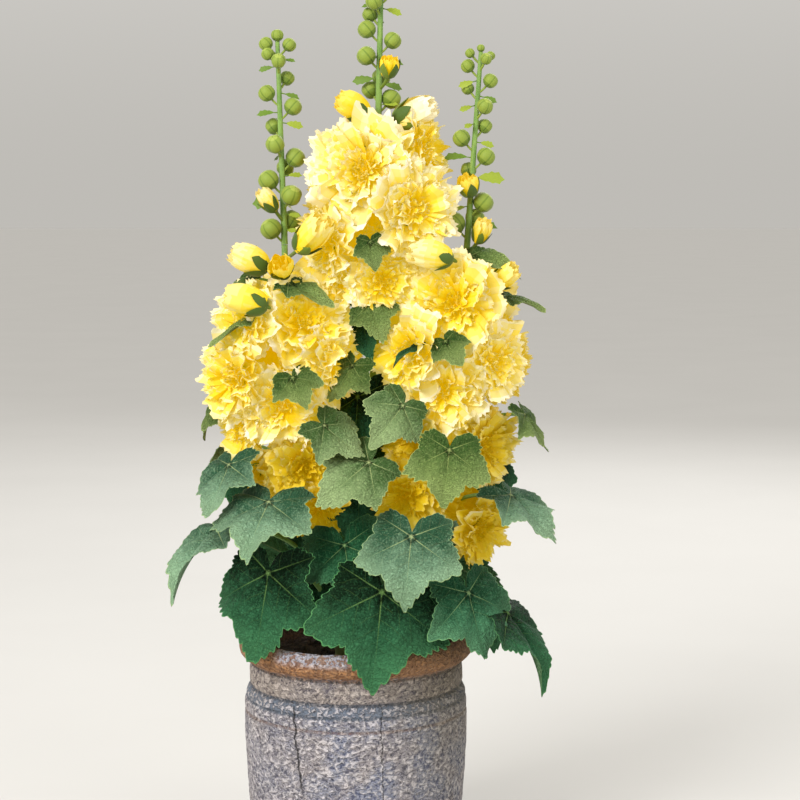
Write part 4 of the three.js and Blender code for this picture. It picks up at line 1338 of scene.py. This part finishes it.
def petal_shape(length, half, low, high, seed):
    """A fan petal, pleated along its length, with a ragged rim: across, outward, towards the face."""
    draw = chances(seed, 3 * len(SHARE_ALONG)).reshape(3, -1)
    turn = radians(high - low)
    slope = radians(low) + turn * SHARE_ALONG
    out = length * (np.sin(slope) - math.sin(radians(low))) / turn
    rise = length * (math.cos(radians(low)) - np.cos(slope)) / turn
    width = half * (PETAL_WAIST + (1 - PETAL_WAIST) * np.sin(math.pi / 2 * SHARE_ALONG ** 0.85))
    tooth = (1.5 + 0.04 * half) * (TEETH * (0.25 + 0.75 * draw[0]) + 0.7 * (draw[1] - 0.5))
    notches = np.sin(SHARE_ACROSS * (5 + 4 * chance(seed + 0.29)) + 6 * chance(seed + 0.43))
    rounding = PETAL_ROUNDING * np.abs(SHARE_ACROSS) ** 2.4 * SHARE_ALONG ** 3
    drawn = length * (PETAL_NOTCH * notches * SHARE_ALONG ** 4 - rounding)
    drawn = drawn + np.where(ON_RIM, tooth * 0.55, 0)
    phase = 6.28 * chance(seed + 0.37)
    waves = 1.1 + 1.2 * chance(seed + 0.61)
    least, play = PETAL_RUFFLE
    ruffle = (least + play * chance(seed + 0.71)) * SHARE_ALONG ** 1.7
    ruffle = ruffle * np.sin(SHARE_ACROSS * math.pi * waves + phase)
    pleat = PETAL_PLEAT * SHARE_ALONG ** 1.1 * np.cos(math.pi / 2 * PETAL_COLUMNS * (SHARE_ACROSS + 1))
    cup = PETAL_CUP * SHARE_ACROSS ** 2 * SHARE_ALONG * (chance(seed + 0.83) * 1.5 - 0.35)
    crinkle = np.where(ON_RIM, TEETH * (0.4 + draw[2]), 0.5 * (draw[2] - 0.5) * SHARE_ALONG)
    lift = half * (ruffle + pleat + cup) + crinkle
    outward_part = out + drawn * np.cos(slope) - lift * np.sin(slope)
    upward_part = rise + drawn * np.sin(slope) + lift * np.cos(slope)
    return SHARE_ACROSS * width, outward_part, upward_part


def nearest_tints(values):
    """The petal tint nearest to each value."""
    return np.clip(np.round(values), 0, len(PETAL_TINTS) - 1).astype(int).ravel()


def petal_groups(start, span, seed):
    """The faces with a tint for each: deep at the root, pale at the rim, uneven from fold to fold."""
    streak = 1.3 * (chances(seed + 0.53, PETAL_COLUMNS) - 0.5)
    own = start + 1.4 * (chance(seed + 0.91) - 0.5)
    along = (np.arange(PETAL_ROWS) + 0.5)[:, None] * 0.9 / PETAL_ROWS
    uneven = chances(seed + 0.19, PETAL_COLUMNS * PETAL_ROWS).reshape(PETAL_ROWS, -1) - 0.5
    body = nearest_tints(own + span * along ** 1.3 + 0.35 * uneven + streak)
    rim = nearest_tints(own + span + 0.9 + streak)
    return [(PETAL_BODY, body), (RIM_MIDDLE, rim), (RIM_BEFORE, rim), (RIM_AFTER, rim)]


def spun(x, y, angle):
    c, s = math.cos(angle), math.sin(angle)
    return x * c - y * s, x * s + y * c


def add_bloom(heap, place, basis, radius, tone, seed, layers=PETAL_LAYERS, paler=1.5):
    """A double bloom, petal by petal from the outermost layer in."""
    start, span = PETAL_SPAN[tone]
    start += 1.2 * (chance(seed + 0.11) - 0.5)
    hub = np.array([0, 0, -HUB_DEPTH * radius])
    for layer, (count, length, half, low, high, twist) in enumerate(layers):
        for i in range(count):
            key = seed + layer * 31.7 + i * 3.1
            long = radius * length * (0.72 + 0.38 * chance(key))
            wide = radius * half * (0.85 + 0.35 * chance(key + 0.2))
            lean = (22 + 4 * layer) * (chance(key + 0.4) - 0.5)
            x, y, z = petal_shape(long, wide, low + lean * 0.5, high + lean, key)
            x, z = spun(x, z, radians(twist * (2 * chance(key + 0.6) - 1)))
            turn = (i + 0.5 * (layer % 2) + 0.6 * (chance(key + 0.8) - 0.5)) * 2 * math.pi / count
            x, y = spun(x, y + radius * 0.05, turn)
            local = grid_points(x, y, z) + hub
            heap.add(local @ basis + place, petal_groups(start + paler - 0.5 * layer, span, key))


def sheet(rows, columns):
    """Shares along and across a sheet of faces, and the faces."""
    along = np.linspace(0, 1, rows + 1)[:, None]
    across = np.linspace(-1, 1, columns + 1)[None]
    return along, across, ring_faces(rows + 1, columns + 1, False)


def add_sepals(heap, place, basis, radius, spread, seed):
    """Pointed sepals round the foot of a flower, opened by an angle from its axis."""
    rows = SEPAL_GRID[0]
    along, across, faces = sheet(*SEPAL_GRID)
    width = radius * 0.42 * np.sin(math.pi * np.clip(along * 0.86 + 0.14, 0, 1)) ** 0.8
    angle = np.radians(90 - spread * np.sin(along * math.pi / 2))
    out = np.cumsum(np.vstack([[0.0], np.cos(angle[1:]) * radius / rows]), 0) + radius * 0.16 * (along > 0)
    rise = np.cumsum(np.vstack([[0.0], np.sin(angle[1:]) * radius / rows]), 0)
    z = rise + radius * 0.12 * across ** 2
    for i in range(SEPALS):
        x, y = spun(across * width, out, 2 * math.pi * (i + 0.2 * chance(seed + i)) / SEPALS)
        slot = 1 + (i + int(3 * chance(seed))) % 2
        heap.add(grid_points(x, y, z) @ basis + place, [(faces, slot)])


def add_calyx(greens, place, basis, length, width, cover, seed):
    """Pointed sepals that clasp the lower part of a half-open flower."""
    along, across, faces = sheet(*CALYX_GRID)
    foot = HALF_OPEN_BODY[0][0]
    share = foot + (cover - foot) * along
    reach = width / 2 * np.interp(share, *HALF_OPEN_BODY) * 1.06
    reach = reach + width * (0.03 * along ** 4 + 0.02 * (1 - across ** 2))
    opening = radians(CALYX_OPENING) * (1 - 0.97 * along ** 2.2)
    for i in range(SEPALS):
        turn = radians(360 / SEPALS * i + 30 * chance(seed)) + opening * across
        local = grid_points(reach * np.cos(turn), reach * np.sin(turn), share * length)
        greens.add(local @ basis + place, [(faces, i % 2)])


def add_rolled_petals(petals, place, basis, length, width, tint, seed):
    """Petals rolled round each other, pale at their rims."""
    rows, columns = ROLLED_GRID
    along, across, faces = sheet(rows, columns)
    body = np.interp(along, *HALF_OPEN_BODY)
    fold = np.where(np.arange(columns + 1) % 2, ROLLED_FOLD, -ROLLED_FOLD)
    for i in range(ROLLED_PETALS):
        key = seed + i * 2.3
        turn = radians(ROLLED_TURN * i) + radians(ROLLED_SPREAD) * across
        ruffle = 0.13 * np.cos(across * 6 + key) * along ** 2 + fold * along
        reach = width / 2 * (body * (1 - 0.10 * i) + 0.13 * across + ruffle)
        drop = 0.17 * across ** 2 * along + fold * along ** 6 + 0.05 * np.sin(across * 7 + key) * along ** 4
        height = length * (along * (0.92 + 0.1 * chance(key)) - drop)
        value = tint - 1.8 + 4.0 * (np.arange(rows) + 0.5)[:, None] / rows
        value = value + 0.8 * chances(key, columns) - 0.5
        value = value + 0.4 * chances(key, rows * columns).reshape(rows, columns)
        local = grid_points(reach * np.cos(turn), reach * np.sin(turn), height)
        petals.add(local @ basis + place, [(faces, nearest_tints(value))])


def add_half_opens(petals, greens, name):
    """The half-open flowers of a mass or spike: petals that stand out of a calyx, on their own stalk."""
    for stem, place, facing, tilt, length, width, tint, cover in HALF_OPEN.get(name, []):
        place = np.array(place, float)
        basis = face_basis(facing, tilt)
        seed = place[0] + place[2]
        add_rolled_petals(petals, place, basis, length, width, tint, seed)
        add_calyx(greens, place, basis, length, width, cover, seed)
        root = stem_point(stem, place[2] - PEDICEL_DROP)
        bend = (root + place) / 2 - basis[2] * 4
        end = place - basis[2] * length * 0.05
        twig(greens, root, bend, end, HALF_OPEN_STALK_RADII, PEDICEL_STEPS, PEDICEL_SLOT)


def add_fillers(heap, stem, tone, low, high):
    """Smaller blooms close to the stem, which close the mass behind the outer ones. Their deeper tints are
    painted shade for their place inside the mass.
    """
    levels = max(1, round((high - low) / FILLER_STEP))
    for level in range(levels):
        height = low + (high - low) * (level + 0.5) / levels
        for i in range(FILLER_COUNT):
            key = height + i * 7.9
            azimuth = 360 * (i + 0.5 * (level % 2) + 0.3 * chance(key)) / FILLER_COUNT
            place = around(stem, azimuth, FILLER_REACH, height)
            basis = face_basis(azimuth, 20 * (chance(key + 0.5) - 0.5), 90 * chance(key + 0.7))
            # The low last value deepens their tints: painted shade inside the mass
            add_bloom(heap, place, basis, FILLER_RADIUS, tone, key, FILLER_LAYERS, -0.4)


def make_blooms(name):
    """A mass of blooms as two pieces: its petals, and its sepals and flower stalks."""
    stem, tone, rows = BLOOMS[name]
    petals, greens = Heap(), Heap()
    heights = [row[2] for row in rows]
    low, high = min(heights) - CORE_OVERHANG, max(heights) + CORE_OVERHANG
    for i, (azimuth, reach, height, radius, tilt) in enumerate(rows):
        place = around(stem, azimuth, reach, height)
        seed = height + azimuth + i
        basis = face_basis(azimuth, tilt, 90 * chance(seed))
        add_bloom(petals, place, basis, radius, tone, seed)
        hub = place - basis[2] * radius * (HUB_DEPTH + 0.03)
        add_sepals(greens, hub - basis[2] * radius * 0.06, basis, radius * 0.5, SEPAL_SPREAD, seed)
        root = stem_point(stem, min(max(height - PEDICEL_DROP, low + ROOT_MARGIN), high - ROOT_MARGIN))
        bend = (root + hub) / 2 + UP * 4 - basis[2] * 3
        twig(greens, root, bend, hub, PEDICEL_RADII, PEDICEL_STEPS, PEDICEL_SLOT)
    add_fillers(petals, stem, tone, low + FILLER_MARGIN, high - FILLER_MARGIN)
    add_half_opens(petals, greens, name)
    dress(petals.piece(f"{name}_petals", PETALS[tone]), f"petal_{tone}", name)
    dress(greens.piece(f"{name}_greens", BUD_SKINS), "bud_green")


# Bud spikes


def add_bud(heap, place, basis, width, seed):
    """A round bud of sepals that meet in darker seams."""
    half = width / 2
    sepal, column = np.divmod(np.arange(BUD_SIDES), BUD_SIDES // SEPALS)
    turn = np.radians(360 / SEPALS * (sepal + chance(seed)) + np.array(BUD_COLUMNS)[column])
    reach = BUD_PROFILE[:, :1] * half * np.where(column < 2, BUD_GROOVE, BUD_SWELL)
    height = (BUD_PROFILE[:, 1:] - BUD_FOOT) * half * BUD_STRETCH
    levels = np.arange(len(BUD_PROFILE) - 1)[:, None]
    tint = np.where(levels < 3, 1, np.where(levels < 7, 2, 3)) - (column == 0)
    local = grid_points(reach * np.cos(turn), reach * np.sin(turn), height)
    heap.add(local @ basis + place, [(ring_faces(len(BUD_PROFILE), BUD_SIDES), tint.ravel())])


def add_bract(heap, place, basis, length, seed):
    """A small bract, folded along its middle, with three blunt teeth at its tip."""
    half, along = BRACT_OUTLINE.T
    wide = 0.85 + 0.3 * chance(seed)
    sag = 0.18 * along ** 2
    middle = np.stack([0 * along, along, -sag], -1)
    right = np.stack([half * wide, along, 0.25 * half - sag], -1)
    points = np.vstack([right * [-1, 1, 1], middle, right]) * length
    slot = BRACT_SLOT + int(2 * chance(seed + 0.5))
    heap.add(points @ basis + place, [(ring_faces(3, len(along), False), slot)])


def add_buds(heap, name):
    """The buds of a spike, the first of them on its tip, each over a collar of narrow sepals."""
    for i, (azimuth, height, width) in enumerate(BUDS[name]):
        low = height - width * BUD_SINK
        place = around(name, azimuth, BUD_REACH if i else 0, low)
        basis = face_basis(azimuth, BUD_TILT if i else BUD_TIP_TILT)
        foot = place - basis[2] * width * 0.03
        add_bud(heap, foot, basis, width, i + height)
        add_sepals(heap, foot - basis[2] * 0.4, basis, width * 0.52, COLLAR_SPREAD, i * 1.3)
        if i:
            start = stem_point(name, low - 7)
            bend = (start + place) / 2 - UP
            twig(heap, start, bend, place, BUD_STALK_RADII, BUD_STALK_STEPS, BUD_STALK_SLOT)


def add_bracts(heap, name):
    """The bracts of a spike, each turned about its own length."""
    for i, (azimuth, height, length) in enumerate(BRACTS[name]):
        start = around(name, azimuth, STEM_TOP_RADIUS * 0.6, height)
        across, along, normal = blade_basis(azimuth, 22 * chance(i + length) - 6, 0)
        lean = radians(30 + 50 * chance(i * 1.9 + length))
        lean = lean if outward(azimuth)[0] < 0 else -lean
        across = across * math.cos(lean) + normal * math.sin(lean)
        basis = np.array([across, along, np.cross(across, along)])
        add_bract(heap, start + along * 3, basis, length, i + height)
        tube(heap, [start, start + along * 2, start + along * 4.5], BRACT_STALK_RADII, 5, BRACT_SLOT)


def make_spike(name):
    """A bud spike as one piece, with a second one for the petals of its half-open flowers."""
    heap, petals = Heap(), Heap()
    foot = STEMS[name]["top_height"] + 0.3
    _, tip_height, tip_width = BUDS[name][0]
    heights = np.append(foot, np.linspace(foot + 0.4, tip_height - tip_width * BUD_SINK, SPIKE_RINGS))
    line = [stem_point(name, height) for height in heights]
    radii = np.linspace(STEM_TOP_RADIUS, SPIKE_TIP_RADIUS, SPIKE_RINGS + 1)
    tube(heap, line, radii, SPIKE_SIDES, STEM_SLOT)
    add_buds(heap, name)
    add_bracts(heap, name)
    add_half_opens(petals, heap, f"buds_{name}")
    if petals.count:
        dress(petals.piece(f"{name}_opening_petals", PETALS["pale"]), "petal_pale")
    dress(heap.piece(f"{name}_bud_spike", BUD_SKINS + BRACT_SKINS + [STEM]), "bud_green", f"buds_{name}")


# Floor, light and camera


def make_stage():
    floor = new_primitive("pale_floor", bpy.ops.mesh.primitive_plane_add, size=FLOOR_SIZE)
    finish, shader, place = new_finish("pale_ground", 0.9)
    blend(cloud(place, 3.0, 2.0), "#CDCBC7", "#D2D0CC").goes_to(shader["Base Color"])
    floor.data.materials.append(finish)


def add_light(name, place, aim, size, power):
    light = bpy.data.lights.new(name, "AREA")
    light.shape = "SQUARE"
    light.size = size
    light.energy = power
    lamp = bpy.data.objects.new(name, light)
    bpy.context.scene.collection.objects.link(lamp)
    lamp.location = place
    back = np.array(place) - np.array(aim)
    flat = math.hypot(back[0], back[1])
    lamp.rotation_euler = (math.atan2(flat, back[2]), 0, math.atan2(back[0], -back[1]))


def make_sky():
    world = bpy.data.worlds.new("soft_studio")
    world.use_nodes = True
    tree = world.node_tree
    way = wire(tree, "Generated", "ShaderNodeTexCoord", {})
    backdrop = tree.nodes["Background"].inputs
    blend(ramp(axes(way)[2], -0.01, 0.3), LOW_SKY, HIGH_SKY).goes_to(backdrop["Color"])
    backdrop["Strength"].default_value = SKY_STRENGTH
    bpy.context.scene.world = world


def make_camera():
    lens = bpy.data.cameras.new("viewpoint")
    lens.lens = CAMERA_LENS
    camera = bpy.data.objects.new("viewpoint", lens)
    camera.location = CAMERA_PLACE
    camera.rotation_euler = (radians(90 - CAMERA_PITCH), 0, 0)
    bpy.context.scene.collection.objects.link(camera)
    bpy.context.scene.camera = camera


make_pot()
make_soil()
make_crumbs()
for stem_name in STEMS:
    make_stem(stem_name)
for number, leaf_row in enumerate(LEAVES):
    make_leaf(leaf_row, number * 1.37 + 0.5)
for leaf_tone in ("dark", "young"):
    make_small_leaves(leaf_tone)
for mass_name in BLOOMS:
    make_blooms(mass_name)
for stem_name in STEMS:
    make_spike(stem_name)
make_stage()
make_sky()
for window in WINDOWS:
    add_light(*window)
make_camera()
bpy.context.scene.view_settings.view_transform = "Standard"
